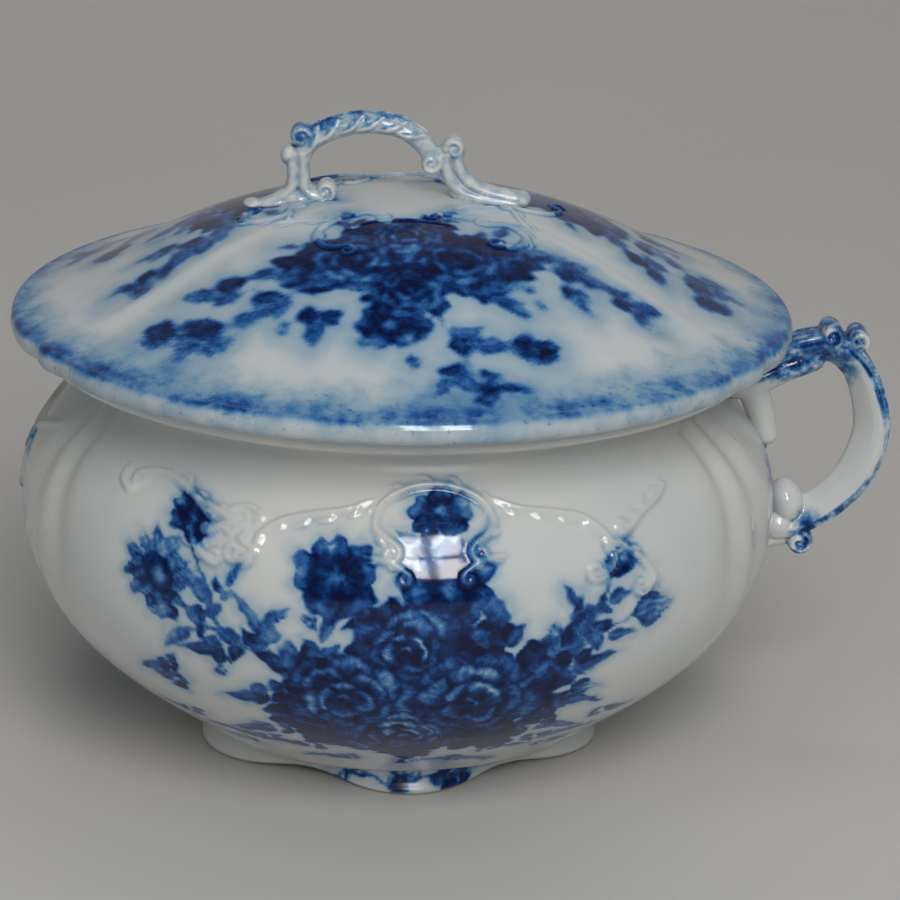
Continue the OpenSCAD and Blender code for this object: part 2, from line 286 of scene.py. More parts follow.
def leafRow(line, count, length, side):
    # leaflets that leave a scroll line and bend forward along it
    line = spaced(line, 0.5)
    leaflets = []
    for k in range(count):
        i = int((k + 0.6) / (count + 0.2) * (len(line) - 2))
        ahead = line[i + 1] - line[i]
        ahead = ahead / np.linalg.norm(ahead)
        across = side * np.array([-ahead[1], ahead[0]])
        reach = length * (1 - 0.35 * abs(2 * k / max(count - 1, 1) - 1))
        middle = line[i] + reach * (0.45 * ahead + 0.42 * across)
        leaflets.append(smoothLine((line[i], middle, line[i] + reach * (1.1 * ahead + 0.5 * across)), 5))
    return leaflets


def scrollStrokes(scrolls, stretch=1.0):
    # each scroll: points, curls at its start and end, scale, and its leaflets (count, length, side)
    strokes = []
    for points, startCurl, endCurl, scale, leaflets in scrolls:
        flat = [(u * stretch, v) for u, v in points]
        strokes.append((scrollLine(flat, startCurl, endCurl), scale))
        if leaflets:
            strokes += [(leaflet, scale * 0.62) for leaflet in leafRow(smoothLine(flat), *leaflets)]
    return strokes


def raisedBy(u, v, strokes, width, height):
    # how high the moulding stands, and the ditch along its edges where cobalt gathers
    rise, ditch = np.zeros(len(u)), np.zeros(len(u))
    for line, scale in strokes:
        low, high = line.min(0) - 3 * width, line.max(0) + 3 * width
        near = np.flatnonzero((u > low[0]) & (u < high[0]) & (v > low[1]) & (v < high[1]))
        if not len(near):
            continue
        gap, share = lineGap(u[near], v[near], line)
        swell = 0.55 + 0.45 * np.sin(np.pi * np.clip(share, 0, 1)) ** 0.7
        form = np.clip(1 - (gap / (width * scale * swell)) ** 2, 0, 1) ** 1.4
        rise[near] = np.maximum(rise[near], height * scale * swell * form)
        edge = (gap - 1.2 * width * scale * swell) / (0.45 * width)
        ditch[near] = np.maximum(ditch[near], swell * np.exp(-edge ** 2))
    return rise, ditch * (1 - np.clip(rise / height * 2.5, 0, 1))


# the transfer print: flowers and leaves drawn over points (u, v), in mm

class Transfer:
    halo = 13  # mm round a shape within which its distance is kept

    def __init__(self, u, v, seed):
        self.u, self.v = u + self.wander(u, v, 0), v + self.wander(u, v, 2)  # a hand's unsteady line
        self.ink = np.full(len(u), -40.0)  # mm inside the ink's edge
        self.tone = np.zeros(len(u))
        self.dice = np.random.default_rng(seed)

    def wander(self, u, v, k):
        slow = np.sin(0.29 * u + 0.21 * v + k) + np.sin(0.24 * v - 0.35 * u + 2 * k + 1)
        quick = np.sin(0.83 * u + 0.61 * v + 3 * k) + np.sin(1.05 * v - 0.7 * u + k + 2)
        return 0.55 * slow + 0.3 * quick

    def local(self, x, y, heading, reach):
        # points near a place, seen along a heading and across it
        reach += self.halo
        spots = np.flatnonzero((np.abs(self.u - x) < reach) & (np.abs(self.v - y) < reach))
        c, s = math.cos(math.radians(heading)), math.sin(math.radians(heading))
        du, dv = self.u[spots] - x, self.v[spots] - y
        return spots, du * c + dv * s, dv * c - du * s

    def lay(self, spots, inside, tone, outline=0.0):
        cover = blendStep(inside, -0.5, 0.7)
        tone = np.clip(tone + outline * np.exp(-(inside / 0.85) ** 2), 0, 1)
        self.tone[spots] += (tone - self.tone[spots]) * cover
        self.ink[spots] = np.maximum(self.ink[spots], inside)

    def ground(self, x, y, radius):
        spots, du, dv = self.local(x, y, 0, radius * 1.3)
        turn = np.arctan2(dv, du)
        wave = 1 + 0.14 * np.sin(5 * turn + x) + 0.1 * np.sin(9 * turn + y)
        u, v = self.u[spots], self.v[spots]
        mottle = 0.16 * np.sin(0.45 * u + 0.3 * v) * np.sin(0.52 * v - 0.2 * u)
        mottle = mottle + 0.1 * np.sin(0.8 * v + 0.3 * u)
        self.lay(spots, radius * wave - np.hypot(du, dv), 0.98 + mottle)

    def stem(self, points, width=1.8, tone=0.62):
        line = smoothLine(points, 6)
        middle = (line.min(0) + line.max(0)) / 2
        spots, _, _ = self.local(middle[0], middle[1], 0, (line.max(0) - line.min(0)).max() / 2)
        gap, share = lineGap(self.u[spots], self.v[spots], line)
        self.lay(spots, width / 2 * (1.2 - 0.5 * share) - gap, np.full(len(spots), tone))

    def leaf(self, x, y, heading, length, width, bend, tone):
        # pointed lobes in pairs along a rib, and one at the tip
        spots, along, across = self.local(x, y, heading, length)
        across = across - bend * along * np.abs(along) / length
        pairs = max(1, round(0.85 * length / width))
        lobes = [(0.3 * length, 0, 0.7 * length)]
        for k in range(pairs):
            reach = 0.64 * width * (1 - 0.22 * k / pairs)
            lobes += [(length * (0.05 + 0.52 * k / pairs), side * (58 - 9 * k), reach) for side in (-1, 1)]
        inside, rib = np.full(len(spots), -99.0), np.zeros(len(spots))
        for root, turn, reach in lobes:
            c, s = math.cos(math.radians(turn)), math.sin(math.radians(turn))
            a, b = (along - root) * c + across * s, across * c - (along - root) * s
            t = np.clip(a / reach, 0, 1)
            b = b + 0.1 * width * t ** 2 * (1 if turn >= 0 else -1)  # the tips curl over
            half = 0.24 * width * np.sin(np.pi * t ** 0.72) ** 0.8
            gap = np.where((a > 0) & (a < reach), (half - np.abs(b)) * 0.85, -np.hypot(a - t * reach, b))
            rib = np.where(gap > inside, np.exp(-(b / (0.07 * width)) ** 2) * (1 - t), rib)
            inside = np.maximum(inside, gap)
        shade = tone + 0.17 * np.tanh(5 * across / width) - 0.22 * rib + 0.26 * (0.5 - along / length)
        self.lay(spots, inside, shade, 0.08)

    def petal(self, x, y, heading, length, width, rim, root, outline, full):
        # a pointed petal from its root
        spots, along, across = self.local(x, y, heading, length)
        t = np.clip(along / length, 0, 1)
        half = width / 2 * np.sin(np.pi * t ** full) ** 0.8
        inside = np.where((along > 0) & (along < length), (half - np.abs(across)) * 0.85,
                          -np.hypot(along - t * length, across))
        self.lay(spots, inside, root + (rim - root) * t + 0.1 * np.sin(across / width * 20), outline)

    def rose(self, x, y, radius, turn):
        # rings of round petals, dark at the root with a pale turned-over rim:
        # how many, how far out, half width, half depth, tone of the rim
        rings = ((6, 0.64, 0.46, 0.40, 0.68), (5, 0.43, 0.42, 0.34, 0.5),
                 (4, 0.22, 0.32, 0.26, 0.36), (1, 0.0, 0.16, 0.16, 0.62))
        for count, out, wide, deep, rim in rings:
            for k in range(count):
                heading = turn + 360 * (k + self.dice.uniform(-0.16, 0.16)) / count + 23 * count
                reach = radius * out * self.dice.uniform(0.88, 1.1)
                c, s = math.cos(math.radians(heading)), math.sin(math.radians(heading))
                spots, along, across = self.local(x + reach * c, y + reach * s, heading, radius * wide)
                along, across = along / (radius * deep), across / (radius * wide)
                gap = np.hypot(along, across)
                pale = np.exp(-((gap - 0.66) / 0.3) ** 2) * blendStep(along, -0.35, 0.6)
                light = 1.12 - rim + 0.22 * s + self.dice.uniform(-0.22, 0.14)
                shade = 0.97 - max(light, 0.08) * pale * (1 - 0.3 * np.sin(across * 11 + k) ** 2)
                self.lay(spots, (1 - gap) * radius * deep, shade, 0.1)

    def dogRose(self, x, y, radius, turn):
        # five soft petals, the upper ones paler, round a dark heart with a pale eye
        spots, du, dv = self.local(x, y, 0, radius)
        gap, angle = np.hypot(du, dv), np.degrees(np.arctan2(dv, du)) - turn
        q = fromPanel(angle, 5) / 36  # from -1 to 1 across a petal
        lit = np.sin(np.radians(angle - q * 36 + turn))
        edge = radius * (1 - 0.12 * np.exp(-(q / 0.25) ** 2) - 0.26 * np.abs(q) ** 3)
        share = gap / edge
        rim = np.exp(-((share - 0.78) / 0.2) ** 2) * (1 - np.abs(q) ** 3)
        shade = 0.9 - (0.5 + 0.2 * lit) * rim * (0.75 + 0.25 * np.sin(7 * q + x)) + 0.2 * np.abs(q) ** 4
        shade = shade - 0.5 * np.exp(-(gap / (0.17 * radius)) ** 2)
        self.lay(spots, (edge - gap) * 0.85, shade, 0.1)

    def daisy(self, x, y, radius, turn):
        # two rings of narrow petals round a dark seeded eye
        petals = 11
        for ring, reach in ((0, 1.0), (1, 0.78)):
            for k in range(petals):
                heading = turn + 360 / petals * (k + 0.5 * ring)
                rim = 0.32 - 0.16 * math.sin(math.radians(heading)) + 0.22 * (k % 3 == 0)
                self.petal(x, y, heading, radius * reach, radius * 0.37, rim, 0.8, 0.42, 1.7)
        spots, du, dv = self.local(x, y, 0, radius)
        eye = 0.44 * radius
        gap = np.hypot(du, dv) / eye
        self.lay(spots, eye * (1 - gap), 1 - 0.62 * np.exp(-(gap / 0.45) ** 2))

    def bud(self, x, y, heading, length):
        for lean, tone in ((-26, 0.8), (26, 0.75), (0, 0.4)):
            reach = length * (1 - abs(lean) / 90)
            self.petal(x, y, heading + lean, reach, length * 0.5, tone - 0.3, tone + 0.3, 0.35, 0.9)

    def sprig(self, x, y, radius):
        # a small filler flower of five dots
        for k in range(5):
            a, out = math.radians(72 * k + x * 7), radius * 0.55
            spots, du, dv = self.local(x + out * math.cos(a), y + out * math.sin(a), 0, radius)
            gap = np.hypot(du, dv)
            self.lay(spots, radius * 0.42 - gap, 0.45 + 0.2 * (gap < radius * 0.2), 0.25)

    def bouquet(self, plan):
        for spot in plan["ground"]:
            self.ground(*spot)
        for points in plan["stems"]:
            self.stem(points)
        for spot in plan["leaves"]:
            self.leaf(*spot, 0.62 + 0.24 * self.dice.random())
        for kind, draw in (("sprigs", self.sprig), ("daisies", self.daisy), ("dogRoses", self.dogRose),
                           ("roses", self.rose), ("buds", self.bud)):
            for spot in plan.get(kind, ()):
                draw(*spot)


def flowRound(ink, amount, reach, elsewhere):
    # blue that ran into the glaze, deepest at the print's edge
    return amount * np.exp(np.minimum(ink, 0) / reach) + elsewhere


# shader maths on sockets

class Wire:
    def __init__(self, shop, socket):
        self.shop, self.socket = shop, socket

    def __add__(self, other):
        return self.shop.maths("ADD", self, other)

    def __sub__(self, other):
        return self.shop.maths("SUBTRACT", self, other)

    def __rsub__(self, other):
        return self.shop.maths("SUBTRACT", other, self)

    def __mul__(self, other):
        return self.shop.maths("MULTIPLY", self, other)

    __radd__ = __add__
    __rmul__ = __mul__


class Finish:
    def __init__(self, name):
        self.material = bpy.data.materials.new(name)
        self.material.use_nodes = True
        self.tree = self.material.node_tree
        self.tree.nodes.clear()

    def add(self, kind, settings=None, values=None, out=0):
        node = self.tree.nodes.new(kind)
        for key, value in (settings or {}).items():
            if key == "stops":
                ramp = node.color_ramp
                while len(ramp.elements) < len(value):
                    ramp.elements.new(0.5)
                for stop, (spot, colour) in zip(ramp.elements, value):
                    stop.position, stop.color = spot, (*colour, 1)
            else:
                setattr(node, key, value)
        for key, value in (values or {}).items():
            if isinstance(value, Wire):
                self.tree.links.new(value.socket, node.inputs[key])
            else:
                node.inputs[key].default_value = value
        return Wire(self, node.outputs[out]) if node.outputs else None

    def maths(self, operation, a, b=0.0, clamp=False):
        return self.add("ShaderNodeMath", {"operation": operation, "use_clamp": clamp}, {0: a, 1: b})

    def clamp(self, a):
        return self.maths("ADD", a, 0.0, True)

    def between(self, a, low, high):
        values = {"Value": a, "From Min": low, "From Max": high}
        return self.add("ShaderNodeMapRange", {"interpolation_type": "SMOOTHSTEP"}, values)

    def field(self, name):
        return self.add("ShaderNodeAttribute", {"attribute_name": name}, out="Fac")

    def noise(self, place, scale, detail=3.0, rough=0.5):
        return self.add("ShaderNodeTexNoise", None,
                        {"Vector": place, "Scale": scale, "Detail": detail, "Roughness": rough})

    def mix(self, share, a, b):
        a, b = (c if isinstance(c, Wire) else (*c, 1) for c in (a, b))
        return self.add("ShaderNodeMix", {"data_type": "RGBA"}, {0: share, 6: a, 7: b}, 2)

    def ramp(self, share, stops):
        return self.add("ShaderNodeValToRGB", {"stops": stops}, {"Fac": share})

    def bump(self, height, strength, distance):
        values = {"Height": height, "Strength": strength, "Distance": distance}
        return self.add("ShaderNodeBump", None, values)

    def close(self, colour, roughness, normal):
        shader = self.add("ShaderNodeBsdfPrincipled", None,
                          {"Base Color": colour, "Roughness": roughness, "Normal": normal,
                           "IOR": ware["ior"], "Specular IOR Level": ware["specular"]})
        self.add("ShaderNodeOutputMaterial", None, {"Surface": shader})
        return self.material


# colours of clay, glaze and cobalt
ware = {
    "white": (0.66, 0.67, 0.655),
    "cool": (0.585, 0.625, 0.635),
    "bareClay": (0.47, 0.35, 0.23),
    # cobalt by its depth, from the faint flow round a print to its darkest ground
    "cobalt": (
        (0.0, (0.575, 0.625, 0.64)),
        (0.14, (0.39, 0.488, 0.56)),
        (0.3, (0.16, 0.31, 0.475)),
        (0.44, (0.058, 0.185, 0.415)),
        (0.6, (0.016, 0.094, 0.32)),
        (0.8, (0.004, 0.028, 0.13)),
        (1.0, (0.003, 0.007, 0.045)),
    ),
    "roughness": 0.075, "ior": 1.52, "specular": 0.27,
    "faint": 0.16,  # below this depth the glaze's own white shows through
}


def glazeSurface(finish, place):
    # slow ripple of the glaze, with a few pinholes
    ripple = finish.noise(place, 95.0, 2.0)
    pins = finish.between(finish.noise(place, 620.0, 1.0), 0.2, 0.26)
    return finish.bump(ripple + pins * 0.1, 0.22, 0.6 * mm)


def glazeRoughness(finish, place):
    return ware["roughness"] + finish.noise(place, 160.0, 4.0) * 0.05


def plainGlaze(finish, place):
    # the white of the glaze, cooler where it lies thick
    cloud = finish.noise(place, 22.0, 4.0)
    return finish.mix(finish.between(cloud, 0.35, 0.75), ware["white"], ware["cool"])


def cobaltOver(finish, place, depth):
    blue = finish.ramp(depth, ware["cobalt"])
    return finish.mix(finish.between(depth, 0.0, ware["faint"]), plainGlaze(finish, place), blue)


def printedGlaze(name, sponged):
    finish = Finish(name)
    place = finish.add("ShaderNodeTexCoord", out="Object")
    grain = finish.noise(place, 1100.0, 3.0)
    patch = finish.noise(place, 230.0, 4.0, 0.6)
    cloud = finish.noise(place, 55.0, 4.0, 0.6)
    ink, tone, flow, rise, ditch = (finish.field(n) for n in ("ink", "tone", "flow", "rise", "ditch"))
    soft = 1.25 if sponged else 1.0  # the lid's print has run more
    edge = finish.between(ink + (patch - 0.5) * 1.3 + (grain - 0.5) * 0.4, -1.0 * soft, 1.2 * soft)
    blot = finish.between(patch, 0.32, 0.68)
    deep = 0.95 if sponged else 0.91
    stain = (blot - 0.5) * 0.26 + (cloud - 0.5) * 0.4 + (grain - 0.5) * 0.2
    shade = finish.clamp(0.06 + tone * deep + stain)
    depth = edge * shade * (1 - rise * 0.4) + edge * ditch * 0.2
    depth = depth + (1 - edge) * flow * (0.5 + cloud + ditch * 1.5)
    if sponged:  # dabs of blue along the edge of the lid
        rim = finish.field("rim")
        dab = finish.between(finish.noise(place, 120.0, 6.0, 0.62), 0.34, 0.72)
        broad = finish.between(finish.noise(place, 36.0, 3.0, 0.5), 0.3, 0.7)
        reach = finish.between(rim + (cloud - 0.5) * 26.0, 24.0, 3.0)
        speck = finish.between(finish.noise(place, 480.0, 2.0, 0.6), 0.64, 0.74)
        line = finish.between(rim, 11.0, 2.6) * broad
        sponge = reach * (0.16 + dab * 0.2 + speck * 0.14) + line * (0.12 + dab * 0.4)
        depth = depth + sponge * finish.between(rim, 0.2, 1.7) * (1 - edge * 0.8)
        depth = depth + finish.between(rim, 1.4, 0.2) * (0.04 + dab * 0.2 * broad + speck * 0.16)
    colour = cobaltOver(finish, place, finish.clamp(depth))
    worn = finish.clamp(finish.field("worn") * (0.4 + patch * 1.2))
    colour = finish.mix(worn, colour, ware["bareClay"])
    roughness = glazeRoughness(finish, place) + worn * 0.5 + finish.field("dull") * 0.3
    return finish.close(colour, roughness, glazeSurface(finish, place))


def washedGlaze(name):
    finish = Finish(name)
    place = finish.add("ShaderNodeTexCoord", out="Object")
    patch = finish.noise(place, 240.0, 5.0, 0.62)
    wash, hollow = finish.field("wash"), finish.field("hollow")
    blot = finish.between(patch, 0.34, 0.66)
    depth = finish.clamp(wash * (0.3 + blot * 0.95) + hollow * 0.55 * (wash + 0.1))
    colour = cobaltOver(finish, place, depth)
    return finish.close(colour, glazeRoughness(finish, place), glazeSurface(finish, place))


# camera

shot = {
    "distance": 900,  # mm from the aim
    "aimHeight": 80,
    "elevation": 19.77,
    "roll": 1.12,
    "focalPixels": 2822, "sensor": 36,
    "frame": 900,  # pixels each way
    "middle": (398.5, 473.4),  # pixel that the lens points at
}


def makeCamera():
    clearPick()
    e, t = math.radians(shot["elevation"]), math.radians(shot["roll"])
    ahead = Vector((0, math.cos(e), -math.sin(e)))
    up = Vector((0, math.sin(e), math.cos(e)))
    right = Vector((1, 0, 0))
    spot = Vector((0, 0, shot["aimHeight"])) - ahead * shot["distance"]
    bpy.ops.object.camera_add(location=spot * mm)
    camera = bpy.context.object
    camRight = right * math.cos(t) + up * math.sin(t)
    camUp = up * math.cos(t) - right * math.sin(t)
    turn = Matrix((camRight, camUp, -ahead)).transposed()
    camera.rotation_euler = turn.to_euler()
    camera.data.sensor_width = shot["sensor"]
    camera.data.lens = shot["sensor"] * shot["focalPixels"] / shot["frame"]
    camera.data.shift_x = (shot["frame"] / 2 - shot["middle"][0]) / shot["frame"]
    camera.data.shift_y = (shot["middle"][1] - shot["frame"] / 2) / shot["frame"]
    camera.data.clip_start, camera.data.clip_end = 0.01, 50
    bpy.context.scene.camera = camera
    bpy.context.scene.view_settings.view_transform = "Standard"
    print("camera placed")


# floor and light

stageSet = {
    "floorColour": (0.56, 0.549, 0.535),
    "floorSize": 6, "wallHeight": 3, "sweep": 0.8,  # metres; the far edge turns up into a backdrop
    "skyColour": (0.91, 0.965, 1.0, 1), "worldLight": 0.3,
    "overhead": 0.2, "fade": (0.55, 0.85),  # the room is dimmer overhead
    # each lamp: where it hangs, what it points at, size, watts and colour
    "lamps": (
        ((0.2, -0.3, 1.35), (0, 0, 0.08), 1.3, 2.9, (0.95, 0.985, 1.0)),
        ((0.26, -1.23, 1.05), (0, 0, 0.08), 0.9, 13.4, (1.0, 0.98, 0.945)),
        ((-1.25, -0.75, 0.5), (0, 0, 0.08), 0.9, 1.3, (0.9, 0.965, 1.0)),
        ((0, 1.1, 2.3), (0, 3, 0.7), 1.6, 19.2, (1.0, 0.975, 0.945)),
    ),
    "window": {"azimuth": 10.5, "elevation": 35, "distance": 1.25, "aimHeight": 0.09,
               "pane": (0.15, 0.36), "gap": 0.06, "watts": 4.6},
}


def makeFloor():
    clearPick()
    bpy.ops.mesh.primitive_plane_add(size=stageSet["floorSize"])
    floor = bpy.context.object
    floor.name = "floor"
    bpy.ops.object.mode_set(mode="EDIT")
    bpy.ops.mesh.select_mode(type="EDGE")
    bpy.ops.object.mode_set(mode="OBJECT")
    for edge in floor.data.edges:
        edge.select = all(floor.data.vertices[k].co.y > 0 for k in edge.vertices)
    bpy.ops.object.mode_set(mode="EDIT")
    bpy.ops.mesh.extrude_edges_move(TRANSFORM_OT_translate={"value": (0, 0, stageSet["wallHeight"])})
    bpy.ops.object.mode_set(mode="OBJECT")
    applyModifier(floor, "BEVEL", width=stageSet["sweep"], segments=12, limit_method="ANGLE", angle_limit=0.6)
    bpy.ops.object.shade_smooth()
    finish = Finish("paleFloor")
    place = finish.add("ShaderNodeTexCoord", out="Object")
    cloud = finish.noise(place, 3.0, 3.0)
    tint = finish.mix(cloud, stageSet["floorColour"], tuple(c * 1.06 for c in stageSet["floorColour"]))
    paper = finish.bump(finish.noise(place, 900.0, 2.0), 0.05, 0.1 * mm)
    floor.data.materials.append(finish.close(tint, 0.6 + cloud * 0.1, paper))
    print("floor placed")


def hangLamps():
    for spot, at, size, watts, colour in stageSet["lamps"]:
        bpy.ops.object.light_add(type="AREA", location=spot)
        light = bpy.context.object
        light.data.shape, light.data.size = "DISK", size
        light.data.energy, light.data.color = watts, colour
        light.visible_glossy = False  # only the window mirrors in the glaze
        light.rotation_euler = (Vector(at) - light.location).to_track_quat("-Z", "Y").to_euler()
    print("lamps hung:", len(stageSet["lamps"]))


def hangWindow():
    window = stageSet["window"]
    a, e = math.radians(window["azimuth"]), math.radians(window["elevation"])
    back = Vector((math.sin(a) * math.cos(e), -math.cos(a) * math.cos(e), math.sin(e)))
    side = Vector((math.cos(a), math.sin(a), 0))
    rise = back.cross(side)
    middle = Vector((0, 0, window["aimHeight"])) + back * window["distance"]
    wide, tall = window["pane"]
    for column in (-0.5, 0.5):
        for row in (-0.5, 0.5):
            shift = side * column * (wide + window["gap"]) + rise * row * (tall + window["gap"])
            bpy.ops.object.light_add(type="AREA", location=middle + shift)
            light = bpy.context.object
            light.data.shape, light.data.size, light.data.size_y = "RECTANGLE", wide, tall
            light.data.energy = window["watts"]
            light.visible_diffuse = False  # it only mirrors: the lamps do the lighting
            light.rotation_euler = back.to_track_quat("Z", "Y").to_euler()
    print("window hung")


def lightRoom():
    world = bpy.data.worlds.new("room")
    bpy.context.scene.world = world
    world.use_nodes = True
    nodes, links = world.node_tree.nodes, world.node_tree.links
    sky = nodes["Background"]
    sky.inputs["Color"].default_value = stageSet["skyColour"]
    place = nodes.new("ShaderNodeTexCoord")
    axes = nodes.new("ShaderNodeSeparateXYZ")
    fade = nodes.new("ShaderNodeMapRange")
    light = stageSet["worldLight"]
    settings = {"From Min": stageSet["fade"][0], "From Max": stageSet["fade"][1],
                "To Min": light, "To Max": light * stageSet["overhead"]}
    for key, value in settings.items():
        fade.inputs[key].default_value = value
    links.new(place.outputs["Generated"], axes.inputs[0])
    links.new(axes.outputs["Z"], fade.inputs["Value"])
    links.new(fade.outputs[0], sky.inputs["Strength"])
    print("room lit")


# bowl

bowlLow, bowlHigh = (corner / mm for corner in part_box("bowl"))
bowl = {
    "columns": 360,
    "crowding": 0.36,  # columns stand closer on the printed panels
    "panels": 3,
    "footRadius": 70, "footHeight": bowlLow.z,
    "bellyRadius": -bowlLow.y, "bellyHeight": 76,
    "neckRadius": 95.5, "neckHeight": 118,
    "rimRadius": 113, "rimHeight": bowlHigh.z - 0.05,
    "wall": 5, "floorHeight": 14, "floorRadius": 46,
    "fineLength": 133,  # the wall has fine rows up to this length
    "fineStep": 1.15, "coarseStep": 2.0, "insideStep": 9.0,
    "corners": (-66, 64, 180), "flutePitch": 11, "fluteSpread": 3.6, "fluteDepth": 2.3,
    "fluteShare": ((46, 0), (64, 0.4), (84, 1), (108, 1), (117, 0.75), (123, 0)),  # by height
    "scrollWidth": 1.5, "scrollHeight": 1.45, "scrollRadius": 112,
    "handleAngle": 90, "handleClear": 92,  # moulding fades by the handle above this height
    "printRadius": 92,  # the print isn't drawn in further than at this radius
    "finePrint": 60,  # degrees each side of the front in which the print has finer faces
    "flow": (0.17, 3.6, 0),  # blue beside the print, how far it ran in mm, blue elsewhere
}
# moulded scrolls of one panel: angle from the panel's middle, and length up the wall
bowlScrolls = (
    (((11.0, 110.5), (14.2, 116), (13.6, 123), (10, 128), (5.5, 129.6), (1, 128), (-2.6, 123), (-3.2, 116),
      (0, 110.5)), (2.6, 1), (2.6, -1), 1.0, (7, 5.0, -1)),
    (((9.5, 103), (12, 106), (15.5, 107.5)), (1.8, 1), None, 0.8, (2, 4, -1)),
    (((1.5, 103), (-1, 106), (-4.5, 107.5)), (1.8, -1), None, 0.8, (2, 4, 1)),
    (((15, 124.5), (19, 120.8), (24, 118.4), (28.5, 115.6), (31.6, 109), (32, 102), (30, 97.5)),
     None, (2.8, -1), 0.95, (6, 6.0, -1)),
    (((33.6, 106), (36.4, 101), (38.6, 95), (37.4, 91)), (1.6, 1), (2.4, -1), 0.85, (3, 5.0, 1)),
    (((35.4, 109), (39, 113), (43.4, 116), (46.4, 119.4)), (2.2, -1), None, 1.0, (4, 6.0, 1)),
    (((-4, 124.5), (-8, 121), (-13, 118.6), (-17.4, 115.6), (-20.2, 110.5), (-20.6, 105.5), (-23, 102.6)),
     None, (2.6, -1), 0.95, (6, 6.0, 1)),
    (((-24, 112.5), (-27.4, 115.4), (-31.4, 117.4), (-35.8, 121), (-40, 123), (-44.4, 121)),
     (2.2, 1), (2.6, 1), 0.95, (5, 5.5, -1)),
    (((-27, 101), (-30, 105), (-31.4, 110.6)), (2.0, 1), None, 0.85, (3, 4.5, 1)),
    (((-45.6, 114.6), (-47.8, 117.6), (-47.6, 121.6)), (2.0, 1), None, 1.0, None),
    # small curls beside the left scroll
    (((-28.2, 109), (-26.6, 111.5), (-25.4, 112.6)), (1.5, -1), (1.9, -1), 0.85, None),
    (((-25.2, 117.5), (-23, 118.6), (-21, 117.2)), (1.7, 1), (1.6, -1), 0.85, None),
    (((-22.6, 108), (-20.8, 106), (-21.4, 103.6)), (1.5, -1), (2.0, -1), 0.85, None),
    (((-33.4, 119), (-31, 116.4), (-29, 113.6)), None, (1.6, 1), 0.85, None),
)
# the print of one panel, in mm right of its middle and up the wall
bowlBouquet = {
    "ground": ((-12, 60, 18), (16, 58, 20), (38, 64, 13), (-25, 70, 9), (3, 80, 16), (23, 78, 12),
               (45, 75, 8), (2, 40, 15), (-18, 41, 11), (26, 40, 13), (42, 52, 8), (-31, 50, 7), (4, 27, 8)),
    "stems": (((-26, 66), (-42, 76), (-56, 82), (-70, 92)), ((34, 66), (50, 74), (62, 82), (74, 84)),
              ((-8, 84), (-12, 90), (-14, 97)), ((8, 84), (12, 90), (14, 96)),
              ((12, 104), (13, 112), (12, 119)),
              ((-50, 80), (-57, 94), (-62, 106)), ((48, 74), (58, 86), (66, 97))),
    "leaves": ((-32, 72, 112, 27, 13, 0.3), (-43, 77, 62, 19, 11, -0.2), (-45, 78, 208, 22, 12, -0.2),
               (-55, 83, 104, 17, 11, 0.3), (-57, 84, 214, 19, 11, 0.2), (-30, 62, 190, 22, 12, 0.2),
               (-22, 76, 84, 20, 12, -0.2), (-53, 92, 52, 13, 8, 0), (-66, 66, 200, 17, 9, 0.2),
               (-64, 56, 168, 16, 9, 0),
               (40, 70, 62, 27, 14, -0.3), (33, 80, 104, 22, 13, 0.25), (46, 73, -14, 22, 12, 0.25),
               (56, 79, 112, 16, 10, -0.2), (58, 81, -16, 17, 10, 0.2), (40, 57, 2, 24, 12, -0.2),
               (50, 78, 40, 18, 11, 0.2), (60, 89, 16, 13, 8, 0), (57, 86, 132, 13, 8, 0),
               (-8, 88, 152, 15, 9, 0.2), (2, 92, 88, 14, 9, 0), (17, 108, 30, 12, 8, 0.2),
               (9, 110, 150, 12, 7.5, 0),
               (-29, 43, 200, 26, 11, 0.2), (-32, 30, 192, 28, 9, -0.15), (36, 45, -12, 27, 11, -0.2),
               (38, 32, -8, 29, 9, 0.15), (-60, 36, 176, 18, 7, 0), (62, 42, 2, 18, 7, 0),
               (-46, 19, 188, 18, 7, 0), (46, 21, -6, 20, 7, 0), (-10, 20, 200, 24, 8, 0),
               (16, 18, -20, 24, 8, 0), (-20, 28, 186, 22, 8, 0), (24, 27, -6, 22, 8, 0),
               (0, 14, 10, 26, 7, 0), (-2, 30, 176, 20, 8, 0)),
    "sprigs": ((-38, 84, 3.2), (-33, 88, 2.8), (46, 84, 3.0), (52, 68, 2.8), (-52, 68, 2.8), (24, 84, 3.0),
               (-25, 88, 2.6)),
    "daisies": ((-73, 94, 13, -8),),
    "dogRoses": ((-17, 101, 13.5, 100), (15, 99, 14, 40), (12, 121, 9.5, 90), (-62, 112, 8, 60)),
    "roses": ((3, 80, 14, 25), (-14, 61, 18, 10), (22, 60, 20, 40), (3, 42, 14, 70)),
    "buds": ((74, 83, 12, 14), (66, 96, 72, 13), (-66, 84, 196, 10), (52, 62, -8, 11)),
}


